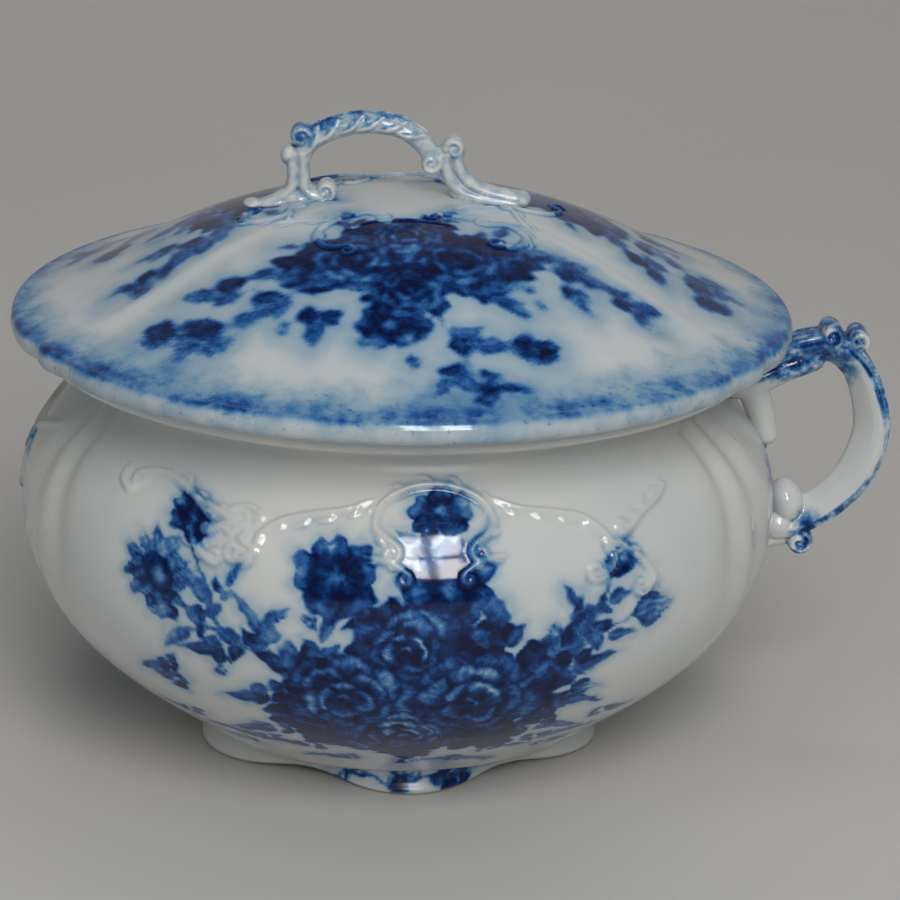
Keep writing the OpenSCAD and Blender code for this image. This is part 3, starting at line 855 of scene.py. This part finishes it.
def bowlOutline():
    b = bowl
    footR, footZ, floorZ = b["footRadius"], b["footHeight"], b["floorHeight"]
    bellyR, bellyZ = b["bellyRadius"], b["bellyHeight"]
    neckR, neckZ = b["neckRadius"], b["neckHeight"]
    r, z = b["rimRadius"], b["rimHeight"]
    rise = neckZ - bellyZ
    toe, lean = footR * 0.36, math.radians(40)
    base = bezier(((footR, footZ), (footR + toe * math.cos(lean), footZ + toe * math.sin(lean)),
                   (bellyR, bellyZ * 0.53), (bellyR, bellyZ)))
    shoulder = bezier((base[-1], (bellyR, bellyZ + rise * 0.68), (neckR, neckZ - rise * 0.19),
                       (neckR, neckZ)))
    throat = bezier((shoulder[-1], (neckR, neckZ + 4.4), (r - 10.3, z - 9.2), (r - 1.7, z - 6.5)))
    lip = bezier((throat[-1], (r + 0.6, z - 5.7), (r + 0.8, z + 0.1), (r - 2.6, z)), 12)
    top = chain(lip, ((r - 2.6, z), (r - 4.4, z)))
    fold = bezier((top[-1], (r - 6.2, z), (r - 7, z - 1.4), (r - 9.4, z - 2.7)), 8)
    mouth, bellyIn = neckR - b["wall"], bellyR - b["wall"]
    throatIn = bezier((fold[-1], (r - 15, z - 5.6), (mouth, z - 7), (mouth, z - 14.5)), 20)
    shoulderIn = bezier((throatIn[-1], (mouth, neckZ - 9), (bellyIn, bellyZ + 27), (bellyIn, bellyZ)))
    baseIn = bezier((shoulderIn[-1], (bellyIn, 40), (80, floorZ), (b["floorRadius"], floorZ)))
    outer = chain(base, shoulder, throat)
    length = runLength(outer)
    fine = outer[length < b["fineLength"]]
    rest = outer[length >= b["fineLength"] - 0.1]
    wall = chain(spaced(fine, b["fineStep"]), spaced(rest, b["coarseStep"]))
    under = [(x, footZ) for x in (0, 34, 58, 66.5, footR)]
    inside = spaced(chain(throatIn, shoulderIn, baseIn), b["insideStep"])
    floor = [(x, floorZ) for x in (b["floorRadius"], 24, 0)]
    section = chain(under, wall, spaced(top, 0.9), spaced(fold, 2.0), inside, floor)
    return section, len(under) - 1, len(under) + len(wall) - 2


def bowlFlutes(angle, z):
    # creases drawn together at the neck, softer downwards, that fade out below the belly
    b = bowl
    down = blendStep(b["neckHeight"] - 6 - z, 0, 40)
    crease = np.zeros(len(angle))
    for corner in b["corners"]:
        for side in (-0.5, 0.5):
            gap = angle - corner - side * b["flutePitch"] * (0.62 + 0.38 * down)
            gap = np.abs((gap + 180) % 360 - 180) / (b["fluteSpread"] * (0.55 + 0.65 * down))
            crease = np.maximum(crease, np.exp(-gap ** 1.7))
    return b["fluteDepth"] * fromTable(z, b["fluteShare"]) * crease


def makeBowl():
    b = bowl
    section, firstRow, lastRow = bowlOutline()
    piece = turnShell("bowl_shell", section, b["columns"])
    row = rowNumbers(piece, section)
    addFields(piece, row=row)
    angle, radius = crowdColumns(piece, b["crowding"], b["panels"])
    strokes = scrollStrokes(bowlScrolls, math.radians(b["scrollRadius"]))
    length = np.zeros(len(section))
    length[firstRow:lastRow + 1] = runLength(section[firstRow:lastRow + 1])
    rows = np.arange(len(section))

    def panelPlace(angle, row):
        outside = (row >= firstRow) & (row <= lastRow)
        u = np.radians(fromPanel(angle, b["panels"])) * b["scrollRadius"]
        return outside, u, np.where(outside, np.interp(row, rows, length), -99)

    def panelPrint(angle, radius, outside, v):
        local = np.radians(fromPanel(angle, b["panels"])) * np.maximum(radius, b["printRadius"])
        sheet = Transfer(np.where(outside, local, 999), v, 11)
        sheet.bouquet(bowlBouquet)
        return sheet

    # moulding on every panel, and the print in front, get finer faces
    outside, u, v = panelPlace(angle, row)
    fine = raisedBy(u, v, strokes, b["scrollWidth"] * 1.2, 1.0)[0] > 0
    printed = panelPrint(angle, radius, outside, v).ink > -1.2
    splitNear(piece, fine | (printed & (np.abs(angle) < b["finePrint"])))

    row = readField(piece, "row")
    angle = turnAngle(places(piece))
    outside, u, v = panelPlace(angle, row)
    rise, ditch = raisedBy(u, v, strokes, b["scrollWidth"], b["scrollHeight"])
    radius, z = np.interp(row, rows, section[:, 0]), np.interp(row, rows, section[:, 1])
    fromHandle = np.abs(angle - b["handleAngle"])
    rise = rise * np.where(z > b["handleClear"], blendStep(fromHandle, 12, 28), 1)
    slope = np.gradient(section, axis=0)
    out = np.column_stack([slope[:, 1], -slope[:, 0]]) / np.linalg.norm(slope, axis=1)[:, None]
    outR, outZ = np.interp(row, rows, out[:, 0]), np.interp(row, rows, out[:, 1])
    radius = radius + np.where(outside, outR * rise - bowlFlutes(angle, z), 0)
    z = z + np.where(outside, outZ * rise, 0)
    placeRound(piece, angle, radius, z)

    sheet = panelPrint(angle, radius, outside, v)
    # the transfer is cut away round the handle's upper root
    below = np.minimum(z - b["handleClear"] - 20, 0)
    ink = np.minimum(sheet.ink, np.hypot((fromHandle - 4) * 2, below) - 20)
    shaded = np.where(outside, blendStep(z, 110, 116) * blendStep(z, 127, 124), 0)  # under the rim
    addFields(piece, ink=ink, tone=sheet.tone, flow=flowRound(ink, *b["flow"]), rise=rise, ditch=ditch,
              worn=0, dull=shaded)
    piece.data.attributes.remove(piece.data.attributes["row"])
    piece.data.materials.append(printedGlaze("bowlGlaze", False))
    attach(piece, "pot")
    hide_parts("bowl")
    print("bowl:", len(piece.data.polygons), "faces")


# foot ring

footLow, footHigh = (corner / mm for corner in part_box("foot_ring"))
foot = {
    "columns": 360,
    "lobes": 6, "lobeDepth": 8.5, "lobeTurn": 5,
    "archRise": 2.1,  # the edge lifts off the table between the lobes
    "radius": 69, "topRadius": 69.2, "inRadius": 59, "height": footHigh.z,
    "flow": (0.12, 2.6, 0.03),
}
footBouquet = {
    "ground": ((16, 4.4, 4.5), (10, 5, 4)),
    "stems": (((-22, 5), (-10, 4), (6, 5)),),
    "leaves": ((-20, 5, 200, 11, 5, 0), (-14, 4, 150, 9, 4, 0), (-8, 4, 20, 10, 4.5, 0), (4, 5, 160, 9, 4, 0),
               (20, 5, 10, 9, 4, 0)),
    "dogRoses": ((-4, 5.2, 5, 10),),
    "roses": ((14, 4.6, 6, 0),),
}


def makeFoot():
    f = foot
    r, inner, h = f["radius"], f["inRadius"], f["height"]
    skirt = bezier(((f["topRadius"], h), (f["topRadius"] - 2.4, h - 2.4), (r - 2.2, h - 4.6), (r, 2.0)), 12)
    toe = bezier(((r, 2.0), (r + 0.25, 0.7), (r - 0.6, 0), (r - 1.8, 0)), 7)
    heel = bezier(((inner + 2, 0), (inner + 0.6, 0), (inner, 0.6), (inner, 2)), 6)
    section = chain(skirt, toe, ((r - 1.8, 0), (inner + 5, 0), (inner + 2, 0)), heel,
                    ((inner, 2), (inner, h), (inner + 3.6, h), (f["topRadius"], h)))
    piece = turnShell("foot_rim", section, f["columns"])
    spots = places(piece)
    angle = turnAngle(spots)
    radius = np.hypot(spots[:, 0], spots[:, 1])
    height = spots[:, 2]
    hollow = (1 - np.cos(np.radians(angle - f["lobeTurn"]) * f["lobes"])) / 2
    share = blendStep(radius, inner + 0.5, r - 3) * np.interp(height, (0, 3, h), (1, 0.9, 0.12))
    radius = radius - f["lobeDepth"] * hollow * share
    height = height + f["archRise"] * hollow ** 2 * (1 - height / h)
    placeRound(piece, angle, radius, height)
    outside = radius > inner + 2
    local = np.radians(fromPanel(angle - f["lobeTurn"], bowl["panels"])) * r
    sheet = Transfer(np.where(outside, local, 999), height, 5)
    sheet.bouquet(footBouquet)
    addFields(piece, ink=sheet.ink, tone=sheet.tone, flow=flowRound(sheet.ink, *f["flow"]), rise=0, ditch=0,
              dull=0.5, worn=0.9 * (1 - blendStep(height, 0.1, 1.5)))
    piece.data.materials.append(printedGlaze("footGlaze", False))
    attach(piece, "pot")
    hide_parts("foot_ring")
    print("foot:", len(piece.data.polygons), "faces")


# lid

lidLow, lidHigh = (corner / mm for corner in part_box("lid_dome"))
lid = {
    "columns": 400,
    "radius": -lidLow.y, "edgeHeight": 137.5, "edgeLow": lidLow.z, "crownHeight": lidHigh.z,
    "wall": 5, "seatHeight": bowlHigh.z, "seatRadius": 106,
    "skirtRadius": 114.3,  # the edge hangs round the rim
    "plainRadius": 16,  # rows stand further apart inside this radius
    "fineStep": 0.85, "coarseStep": 4.0, "insideStep": 6.0,
    "flutePitch": 10, "fluteSpread": 2.9, "fluteDepth": 0.65, "scallop": 1.6,
    "fluteShare": ((0.3, 0), (0.6, 0.8), (0.9, 1), (1, 0.6)),  # by share of the radius
    "beadRadius": 117.2, "beadGroove": 0.3,
    "scrollWidth": 1.25, "scrollHeight": 1.0,
    "runRounds": 1,  # how far the print has run into the glaze
    "flow": (0.18, 4.5, 0.06),
}
# moulded scrolls of one third of the lid: places right of its middle line and out from the axis
lidScrolls = (
    (((-20, 26), (-24.4, 30), (-25.6, 37), (-22, 43.4), (-16.4, 43.6)), (2.2, -1), (2.6, 1), 1.0,
     (4, 4.5, -1)),
    (((-20, 26), (-31, 22.8), (-42, 21), (-54, 19.6)), None, None, 0.75, (4, 6.0, -1)),
    (((24.6, 25.4), (31.6, 23.6), (36.8, 29), (35, 36), (29, 39.4)), (2.2, 1), (2.6, 1), 1.0, (4, 4.5, -1)),
    (((24.6, 25.4), (36, 19.5), (44, 15), (54, 11)), None, None, 0.75, (4, 6.0, 1)),
    (((-19, 24), (-12, 20.6), (-6, 21.6)), None, (2.0, 1), 0.8, (2, 4.0, 1)),
    (((20, 23.4), (14, 20.4), (8, 21.4)), None, (2.0, -1), 0.8, (2, 4.0, -1)),
    (((-14, 30), (-6, 27), (4, 26.6), (14, 28.6)), None, None, 0.7, None),
)
lidBouquet = {
    "ground": ((0, 50, 20), (-16, 52, 14), (18, 50, 15), (30, 48, 9), (-26, 58, 7), (4, 67, 11), (8, 31, 8),
               (-10, 36, 8)),
    "stems": (((-22, 54), (-40, 57), (-60, 66)), ((-26, 60), (-40, 70), (-50, 80)),
              ((26, 46), (46, 42), (64, 50)), ((8, 70), (16, 88), (22, 104))),
    "leaves": ((-30, 51, 165, 18, 15, 0.2), (-47, 57, 188, 20, 16, 0.1), (-34, 65, 148, 18, 15, 0.1),
               (-50, 76, 160, 20, 16, 0), (-22, 72, 108, 17, 14, 0), (-58, 66, 120, 13, 11, 0),
               (33, 44, -32, 18, 15, 0.1), (46, 42, 22, 19, 16, -0.1), (61, 49, -5, 18, 15, 0),
               (50, 52, 70, 14, 12, 0), (7, 77, 140, 17, 14, 0.1), (14, 84, 12, 18, 15, -0.1),
               (18, 96, 128, 16, 13, 0), (22, 99, 14, 16, 13, 0), (-6, 68, 112, 16, 11, 0),
               (24, 60, 46, 18, 14, 0), (-14, 30, 250, 14, 9, 0), (12, 26, -70, 13, 8, 0),
               (24, 36, -50, 14, 9, 0), (-26, 44, 205, 14, 9, 0)),
    "sprigs": ((-34, 78, 3.2), (36, 58, 3.2), (40, 65, 2.8), (-64, 76, 2.8), (4, 94, 3.0)),
    "dogRoses": ((-3, 80, 11, -90), (38, 84, 7.5, 30), (-70, 68, 7.5, 10)),
    "roses": ((-14, 51, 16, 10), (16, 50, 17, 40), (2, 65, 12, 20), (1, 37, 11, 60)),
    "buds": ((68, 54, 30, 10), (23, 104, 70, 9)),
}


def lidDome():
    r, low, high = lid["radius"], lid["edgeHeight"], lid["crownHeight"]
    return bezier(((0, high), (r * 0.55, high), (r * 0.67, low + (high - low) * 0.26), (r, low)), 120)


def lidHeight(radius):
    dome = lidDome()
    return np.interp(radius, dome[:, 0], dome[:, 1])


def lidOutline():
    r, low, seatZ, seatR = lid["radius"], lid["edgeLow"], lid["seatHeight"], lid["seatRadius"]
    dome = lidDome()
    middle = dome[dome[:, 0] < lid["plainRadius"]]
    printed = dome[(dome[:, 0] > middle[-1, 0] - 0.01) & (dome[:, 0] < r - 2.4)]
    middle, printed = spaced(middle, lid["coarseStep"]), spaced(printed, lid["fineStep"])
    edge = bezier((printed[-1], (r + 0.6, lid["edgeHeight"] + 0.2), (r + 0.55, low + 0.2),
                   (r - 2.6, low)), 14)
    seat = ((r - 2.6, low), (lid["skirtRadius"], low), (lid["skirtRadius"], seatZ), (seatR, seatZ))
    under = dome[dome[:, 0] < seatR - 8][::-1] - (0, lid["wall"])
    cove = bezier((seat[-1], (seatR - 3, seatZ), (under[0][0] + 3, under[0][1] - 2), under[0]), 6)
    section = chain(middle, printed, edge, seat, chain(cove, spaced(under, lid["insideStep"])))
    section[-1, 0] = 0
    return section, len(middle) + len(printed) + len(edge) - 3


def makeLid():
    r, low, panels = lid["radius"], lid["edgeLow"], bowl["panels"]
    section, lastRow = lidOutline()
    piece = turnShell("lid_cover", section, lid["columns"])
    row = rowNumbers(piece, section)
    addFields(piece, row=row)
    angle, radius = crowdColumns(piece, bowl["crowding"], panels)
    strokes = scrollStrokes(lidScrolls)

    def thirdPlace(angle, radius, row):
        local, top = np.radians(fromPanel(angle, panels)), row <= lastRow
        return top, radius * np.sin(local), np.where(top, radius * np.cos(local), -99)

    top, u, v = thirdPlace(angle, radius, row)
    splitNear(piece, raisedBy(u, v, strokes, lid["scrollWidth"] * 1.2, 1.0)[0] > 0)

    row = readField(piece, "row")
    angle = turnAngle(places(piece))
    rows = np.arange(len(section))
    radius, height = np.interp(row, rows, section[:, 0]), np.interp(row, rows, section[:, 1])
    top, u, v = thirdPlace(angle, radius, row)
    rise, ditch = raisedBy(u, v, strokes, lid["scrollWidth"], lid["scrollHeight"])
    corner = fromPanel(angle + 180 / panels, panels)
    crease = np.zeros(len(angle))
    for side in (-0.5, 0.5):
        crease = np.maximum(crease, np.exp(-((corner - side * lid["flutePitch"]) / lid["fluteSpread"]) ** 2))
    sink = lid["fluteDepth"] * crease * fromTable(radius / r, lid["fluteShare"])
    groove = lid["beadGroove"] * np.exp(-((radius - lid["beadRadius"]) / 1.6) ** 2)
    height = height + np.where(top, rise - (sink + groove) * blendStep(height, low + 2, low + 5), 0)
    notch = lid["scallop"] * crease * blendStep(radius, r - 7, r - 1)
    radius = radius - notch
    placeRound(piece, angle, radius, height)

    sheet = Transfer(np.where(top, u, 999), v, 23)
    sheet.bouquet(lidBouquet)
    around = neighbourMean(piece)
    ink, tone = around(sheet.ink, lid["runRounds"]), around(sheet.tone, lid["runRounds"])
    # how far in from the edge a point lies: the sponged blue comes further in at the front
    inward = (r - notch - radius) * (1 + 0.4 * blendStep(np.abs(angle), 40, 80))
    inward = inward - 3 * (1 - blendStep(height, low + 1, low + 5))
    addFields(piece, ink=ink, tone=tone, flow=flowRound(ink, *lid["flow"]), rise=rise, ditch=ditch,
              worn=0, dull=0, rim=np.where(top, inward, 99))
    piece.data.attributes.remove(piece.data.attributes["row"])
    piece.data.materials.append(printedGlaze("lidGlaze", True))
    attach(piece, "lid")
    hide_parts("lid_dome")
    print("lid:", len(piece.data.polygons), "faces")


# flange under the lid

flangeLow, flangeHigh = (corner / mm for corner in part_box("lid_flange"))
flange = {
    "columns": 240,
    "outRadius": flangeHigh.x - 0.4, "inRadius": flangeHigh.x - 4.1, "low": flangeLow.z,
    "sunk": 0.6, "fillet": 0.8,  # how far it reaches into the dome, and its spread there
}


def makeFlange():
    f = flange
    out, inner, low, spread = f["outRadius"], f["inRadius"], f["low"], f["fillet"]
    topOut, topIn = (lidHeight(r) - lid["wall"] + f["sunk"] for r in (out, inner))
    heel = bezier(((out, low + 1.6), (out, low + 0.2), (out - 0.8, low), (out - 1.8, low)), 6)
    toe = bezier(((out - 1.8, low), (inner + 0.8, low), (inner, low + 0.3), (inner, low + 1.6)), 6)
    section = chain(((out + spread, topOut), (out, topOut - 2), (out, low + 1.6)), heel, toe,
                    ((inner, low + 1.6), (inner, topIn - 2), (inner - spread, topIn), (out + spread, topOut)))
    piece = turnShell("lid_collar", section, f["columns"])
    worn = 0.55 * (1 - blendStep(places(piece)[:, 2], low, low + 1.2))
    addFields(piece, ink=-40, tone=0, flow=0, rise=0, ditch=0, dull=0, worn=worn)
    piece.data.materials.append(printedGlaze("flangeGlaze", False))
    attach(piece, "lid")
    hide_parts("lid_flange")
    print("flange:", len(piece.data.polygons), "faces")


# scroll handles: tubes, rolls and knobs run together into one clay form

def roundEnd(spot, heading, size):
    # the points and radii that close a tube like half a ball
    ease = np.linspace(0.15, 1, 7) * math.pi / 2
    spots = spot + heading / np.linalg.norm(heading) * size * np.sin(ease)[:, None]
    return spots, size * np.maximum(np.cos(ease), 0.04)


def tube(points, radii, widen=1.0, steps=7, blunt=1.0):
    # widen stretches it across the handle, and blunt below 1 squares its sides
    line = smoothLine(np.column_stack([points, radii]), steps)
    spots, size = line[:, :3], line[:, 3]
    tip, tipSize = roundEnd(spots[0], spots[0] - spots[1], size[0])
    cap, capSize = roundEnd(spots[-1], spots[-1] - spots[-2], size[-1])
    spots = np.vstack([tip[::-1], spots, cap])
    size = np.r_[tipSize[::-1], size, capSize]
    clearPick()
    bpy.ops.curve.primitive_bezier_curve_add()
    line = bpy.context.object
    line.data.splines.clear()
    spline = line.data.splines.new("POLY")
    spline.points.add(len(spots) - 1)
    padded = np.column_stack([spots * mm, np.ones(len(spots))])
    spline.points.foreach_set("co", padded.astype(np.float32).ravel())
    spline.points.foreach_set("radius", size.astype(np.float32))
    line.data.dimensions = "3D"
    line.data.bevel_depth = mm
    line.data.bevel_resolution = 6
    line.data.use_fill_caps = True
    bpy.ops.object.convert(target="MESH")
    piece = bpy.context.object
    if widen != 1.0:
        spots = places(piece)
        y = spots[:, 1] * widen
        most = np.abs(y).max()
        spots[:, 1] = np.sign(y) * most * (np.abs(y) / most) ** blunt
        setPlaces(piece, spots)
    return piece


def flatTube(line, widen=1.0, blunt=1.0):
    # a tube in the plane y = 0 from points (x, z, half thickness)
    return tube([(x, 0, z) for x, z, _ in line], [r for _, _, r in line], widen, 7, blunt)


def knob(spot, size, turn=0.0):
    clearPick()
    bpy.ops.mesh.primitive_uv_sphere_add(segments=32, ring_count=16, radius=1)
    piece = bpy.context.object
    tilt = Matrix.Rotation(math.radians(turn), 4, "Y")
    stretch = Matrix.Diagonal((*(Vector(size) * mm), 1))
    piece.data.transform(Matrix.Translation(Vector(spot) * mm) @ tilt @ stretch)
    return piece


def volute(x, z, radius, halfWidth, first, side, turns=1.3):
    # a strip rolled up on itself round a core
    t = np.linspace(0, 1, 24)
    rib = radius * 0.29
    angle = math.radians(first) + side * 2 * math.pi * turns * t
    reach = (radius - rib) * (1 - 0.86 * t)
    points = np.column_stack([x + reach * np.cos(angle), np.zeros(len(t)), z + reach * np.sin(angle)])
    roll = tube(points, rib * (1 - 0.12 * t), halfWidth / rib, 2, 0.55)
    return [roll, knob((x, 0, z), (radius * 0.66, halfWidth * 0.82, radius * 0.66))]


def rollsAndKnobs(plan):
    pieces = []
    for roll in plan["rolls"]:
        pieces += volute(*roll)
    return pieces + [knob(*spot) for spot in plan["knobs"]]


def beside(line):
    # unit steps along a flat line, and to its left
    along = np.gradient(line[:, :2], axis=0)
    along /= np.linalg.norm(along, axis=1)[:, None]
    return along, np.column_stack([-along[:, 1], along[:, 0]])


def runTogether(name, pieces, voxel, smooth):
    pick(*pieces)
    bpy.ops.object.join()
    piece = bpy.context.object
    piece.name = piece.data.name = name
    applyModifier(piece, "REMESH", mode="VOXEL", voxel_size=voxel * mm, use_smooth_shade=True)
    applyModifier(piece, "SMOOTH", factor=0.5, iterations=smooth)
    piece.data.materials.clear()
    pick(piece)
    bpy.ops.object.shade_smooth()
    return piece


def hollows(piece, spread=9, deepest=0.35):
    # how far each point lies below its neighbours, smoothed, from -1 on ridges to 1 in grooves
    around = neighbourMean(piece)
    spots, out = places(piece), normals(piece)
    soft = np.column_stack([around(spots[:, k], spread) for k in range(3)])
    depth = around(((soft - spots) * out).sum(1), 2)
    return np.clip(depth / deepest, -1, 1)


# handle at the pot's side

potHandle = {
    "voxel": 0.4, "smooth": 4,
    "widen": 1.12, "keel": 0.6,
    # the strap's middle line: out from the axis, height, half thickness
    "strap": ((97, 117.2, 4.2), (104, 117.6, 4.5), (113, 119.6, 4.8), (124, 123.6, 5.0), (134.5, 125.2, 5.0),
              (142.5, 119.8, 4.9), (147.0, 110.6, 5.3), (149.0, 98.2, 5.6), (145.0, 84.6, 5.8),
              (136.4, 74.4, 5.4), (127, 68.6, 5.2), (120, 66.6, 5.2)),
    "edgeBead": 1.1, "beadOut": 5.3,
    # fillet under the strap, the drop below it, and the stub that holds the lowest roll
    "web": ((102, 113.5, 6.0), (109, 113.2, 5.6), (115, 115.3, 5.0), (121, 118.2, 4.7), (129, 121.2, 4.4)),
    "drop": ((104.5, 117.5, 5.6), (110.4, 111.5, 5.2), (113.8, 104, 4.5), (116.2, 96, 3.7)),
    "stub": ((125, 62.6, 3.4), (121, 61.8, 3.8), (117.8, 61.2, 4.2)),
    # rolled ends: place, radius, half width, where the strip starts and which way it winds
    "rolls": ((134.0, 130.0, 4.6, 7.4, -60, 1), (142.6, 128.6, 4.0, 7.2, -40, 1),
              (128.2, 61.2, 5.2, 7.4, 60, -1)),
    "knobs": (((124.0, 0, 73.2), (5.7, 7.4, 8.0), -14), ((121.5, 0, 66.5), (6.5, 7.4, 5.6), 0),
              ((100.5, 0, 117.5), (6.5, 9.0, 6.0), 0)),
    "hub": (126, 96),  # middle of the finger gap
    # how far the blue comes round the edge, and how deep it is, by height
    "lean": ((62, -0.3), (72, -0.25), (84, 0.05), (92, 0.25), (100, 0.15), (110, -0.2), (120, -0.35)),
    "wash": ((62, 0.75), (68, 0.72), (74, 0.6), (84, 0.5), (94, 0.42), (104, 0.6), (112, 0.7), (118, 0.72)),
}


def handleWash(piece):
    h = potHandle
    spots, out = places(piece), normals(piece)
    x, z = spots[:, 0], spots[:, 2]
    fromHub = np.column_stack([x - h["hub"][0], np.zeros(len(x)), z - h["hub"][1]])
    fromHub /= np.linalg.norm(fromHub, axis=1)[:, None]
    # the blue comes round the edge to the visible face, least at the middle of the loop
    lean = fromTable(z, h["lean"])
    outer = blendStep((out * fromHub).sum(1), lean, lean + 0.55)
    inner = 1 - 0.9 * blendStep(x, 137, 145) * (1 - outer)  # the hand side stays white below the crest
    crest = 0.62 * blendStep(z, 109, 117) * blendStep(x, 109, 118) * inner
    curl = 0.8 * np.exp(-((x - 130.5) ** 2 + (z - 67) ** 2) / 16)
    lowRoll = 0.5 * blendStep(66 - z, 0, 4) * blendStep(x, 125, 129)
    wash = np.maximum.reduce([outer * fromTable(z, h["wash"]), crest, curl, lowRoll])
    # the roots stay white
    knobSide = blendStep(127.5 - x, 0, 4) * blendStep(z, 66, 69)
    stubSide = blendStep(126.5 - x, 0, 3) * blendStep(72 - z, 0, 4)
    white = np.maximum.reduce([knobSide, stubSide, blendStep(122.5 - x, 0, 3)])
    return wash * (1 - white * blendStep(117 - z, 0, 4))


def makePotHandle():
    h = potHandle
    run = smoothLine(h["strap"], 6)
    along, away = beside(run)
    band = flatTube(h["strap"], h["widen"], 0.85)
    spots = places(band)  # a D in section, with its round side to the hand
    near = np.hypot(spots[:, :1] - run[:, 0], spots[:, 2:] - run[:, 1]).argmin(1)
    off = ((spots[:, (0, 2)] - run[near, :2]) * away[near]).sum(1) / run[near, 2]
    spots[:, 1] *= 1 + h["keel"] * np.clip(off, -1, 1)
    setPlaces(band, spots)
    pieces = [band, flatTube(h["web"], 1.1), flatTube(h["drop"], 1.15), flatTube(h["stub"], 1.25)]
    # beads along both outer edges leave a shallow channel between them
    spots = (run[:, :2] + away * run[:, 2:3] * 0.78)[6::3]
    thick = h["edgeBead"] * (0.4 + 0.6 * np.sin(np.linspace(0, np.pi, len(spots))) ** 0.5)
    for face in (-1, 1):
        line = np.column_stack([spots[:, 0], np.full(len(spots), face * h["beadOut"]), spots[:, 1]])
        pieces.append(tube(line, thick, 1.0, 3))
    piece = runTogether("pot_handle_scroll", pieces + rollsAndKnobs(h), h["voxel"], h["smooth"])
    addFields(piece, wash=handleWash(piece), hollow=hollows(piece))
    piece.data.materials.append(washedGlaze("potHandleGlaze"))
    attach(piece, "pot")
    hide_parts("pot_handle")
    print("pot handle:", len(piece.data.polygons), "faces")


# grip on the lid

lidGrip = {
    "voxel": 0.33, "smooth": 3,
    "widen": 1.36, "reedWiden": 2.0,
    # middle lines of the arch and of the reeds that its legs are made of
    "arch": ((-31.2, 182.6, 2.6), (-30.0, 186.4, 3.2), (-25.6, 190, 3.4), (-17.6, 193.0, 3.4),
             (-9.4, 193.7, 3.3), (-1.4, 192.3, 3.2), (4.6, 188.6, 3.2), (8.4, 183.6, 3.0)),
    "reeds": (
        ((-34.9, 183.6, 2.1), (-34.3, 178.6, 1.9), (-34.6, 173.6, 2.0), (-37.2, 170.4, 2.0),
         (-41.6, 168.4, 1.6), (-47, 167.2, 1.2)),
        ((-31.2, 184.0, 2.2), (-30.8, 178.6, 1.9), (-30.6, 174.2, 2.0), (-28.8, 171.6, 2.3),
         (-25.6, 170.6, 2.4)),
        ((16.7, 186.2, 2.0), (16.5, 181.0, 1.9), (19.3, 176.4, 2.0), (25.2, 173.1, 2.1), (36, 170.7, 2.2)),
        ((12.9, 184.6, 2.1), (12.8, 179.6, 2.0), (15.4, 175.0, 2.1), (21.4, 171.5, 2.3), (34.4, 169.5, 2.3)),
    ),
    "rolls": ((-31.8, 189.4, 4.2, 4.9, 20, 1), (8.0, 182.0, 4.2, 4.9, 30, -1),
              (15.2, 186.4, 4.0, 4.9, 180, -1), (-24.2, 172.6, 4.3, 4.9, 250, 1)),
    "knobs": (((-35.6, 0, 183.6), (2.4, 4.6, 3.3), 20), ((36.2, 0, 170.7), (2.9, 4.8, 2.6), 0),
              ((-46.6, 0, 167.8), (3.0, 4.6, 1.3), 0), ((-39.5, 0, 168.4), (6.0, 4.4, 1.6), -12),
              ((-32.4, 0, 169.8), (6.0, 4.6, 2.6), 0), ((20, 0, 171.4), (6.5, 4.4, 2.6), 14),
              ((30, 0, 169.6), (7.0, 4.4, 1.8), 8), ((11.6, 0, 184.6), (2.6, 4.2, 2.4), 0)),
    "leaflets": 6,
    # a leaflet from root to tip: along the arch, away from its middle line, out from its face, half thickness
    "leaflet": ((-4.2, -1.7, 3.9, 0.45), (0.4, -0.5, 4.5, 0.95), (4.4, 2.4, 3.4, 0.5)),
    "ribOut": 3.0, "rib": 0.8,
    "wash": ((-36, 0.62), (-16, 0.6), (0, 0.36), (8, 0.14), (16, 0.06)),  # depth of the blue along the top
}


def gripWash(piece):
    spots, out = places(piece), normals(piece)
    x, z = spots[:, 0], spots[:, 2]
    top = blendStep(z, 184, 191) * (0.22 + 0.78 * blendStep(out[:, 2], 0.0, 0.85))
    curl = 0.42 * np.exp(-((x + 32) ** 2 + (z - 189) ** 2) / 22)
    return np.maximum(np.maximum(top * fromTable(x, lidGrip["wash"]), curl) * 1.12, 0.15)


def makeLidGrip():
    g = lidGrip
    pieces = [flatTube(g["arch"], g["widen"], 0.8)]
    pieces += [flatTube(reed, g["reedWiden"], 0.8) for reed in g["reeds"]]
    pieces += rollsAndKnobs(g)
    # carved leaf along the arch: slanting leaflets on both faces, and a rib over its top
    arch = smoothLine(g["arch"][1:7], 10)
    along, away = beside(arch)
    for k in range(g["leaflets"]):
        i = int((k + 0.7) / (g["leaflets"] + 0.4) * (len(arch) - 1))
        for face in (-1, 1):
            line = []
            for ahead, off, out, _ in g["leaflet"]:
                x, z = arch[i, :2] + along[i] * ahead + away[i] * off
                line.append((x, face * out, z))
            pieces.append(tube(line, [thick for *_, thick in g["leaflet"]], 1.0, 4))
    crown = (arch[:, :2] + away * g["ribOut"])[::5]
    line = np.column_stack([crown[:, 0], np.zeros(len(crown)), crown[:, 1]])
    pieces.append(tube(line, np.full(len(line), g["rib"]), 1.0, 4))
    piece = runTogether("lid_grip_scroll", pieces, g["voxel"], g["smooth"])
    addFields(piece, wash=gripWash(piece), hollow=hollows(piece))
    piece.data.materials.append(washedGlaze("lidGripGlaze"))
    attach(piece, "lid")
    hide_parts("lid_handle")
    print("lid grip:", len(piece.data.polygons), "faces")


makeCamera()
makeFloor()
hangLamps()
hangWindow()
lightRoom()
makeBowl()
makeFoot()
makeLid()
makeFlange()
makePotHandle()
makeLidGrip()
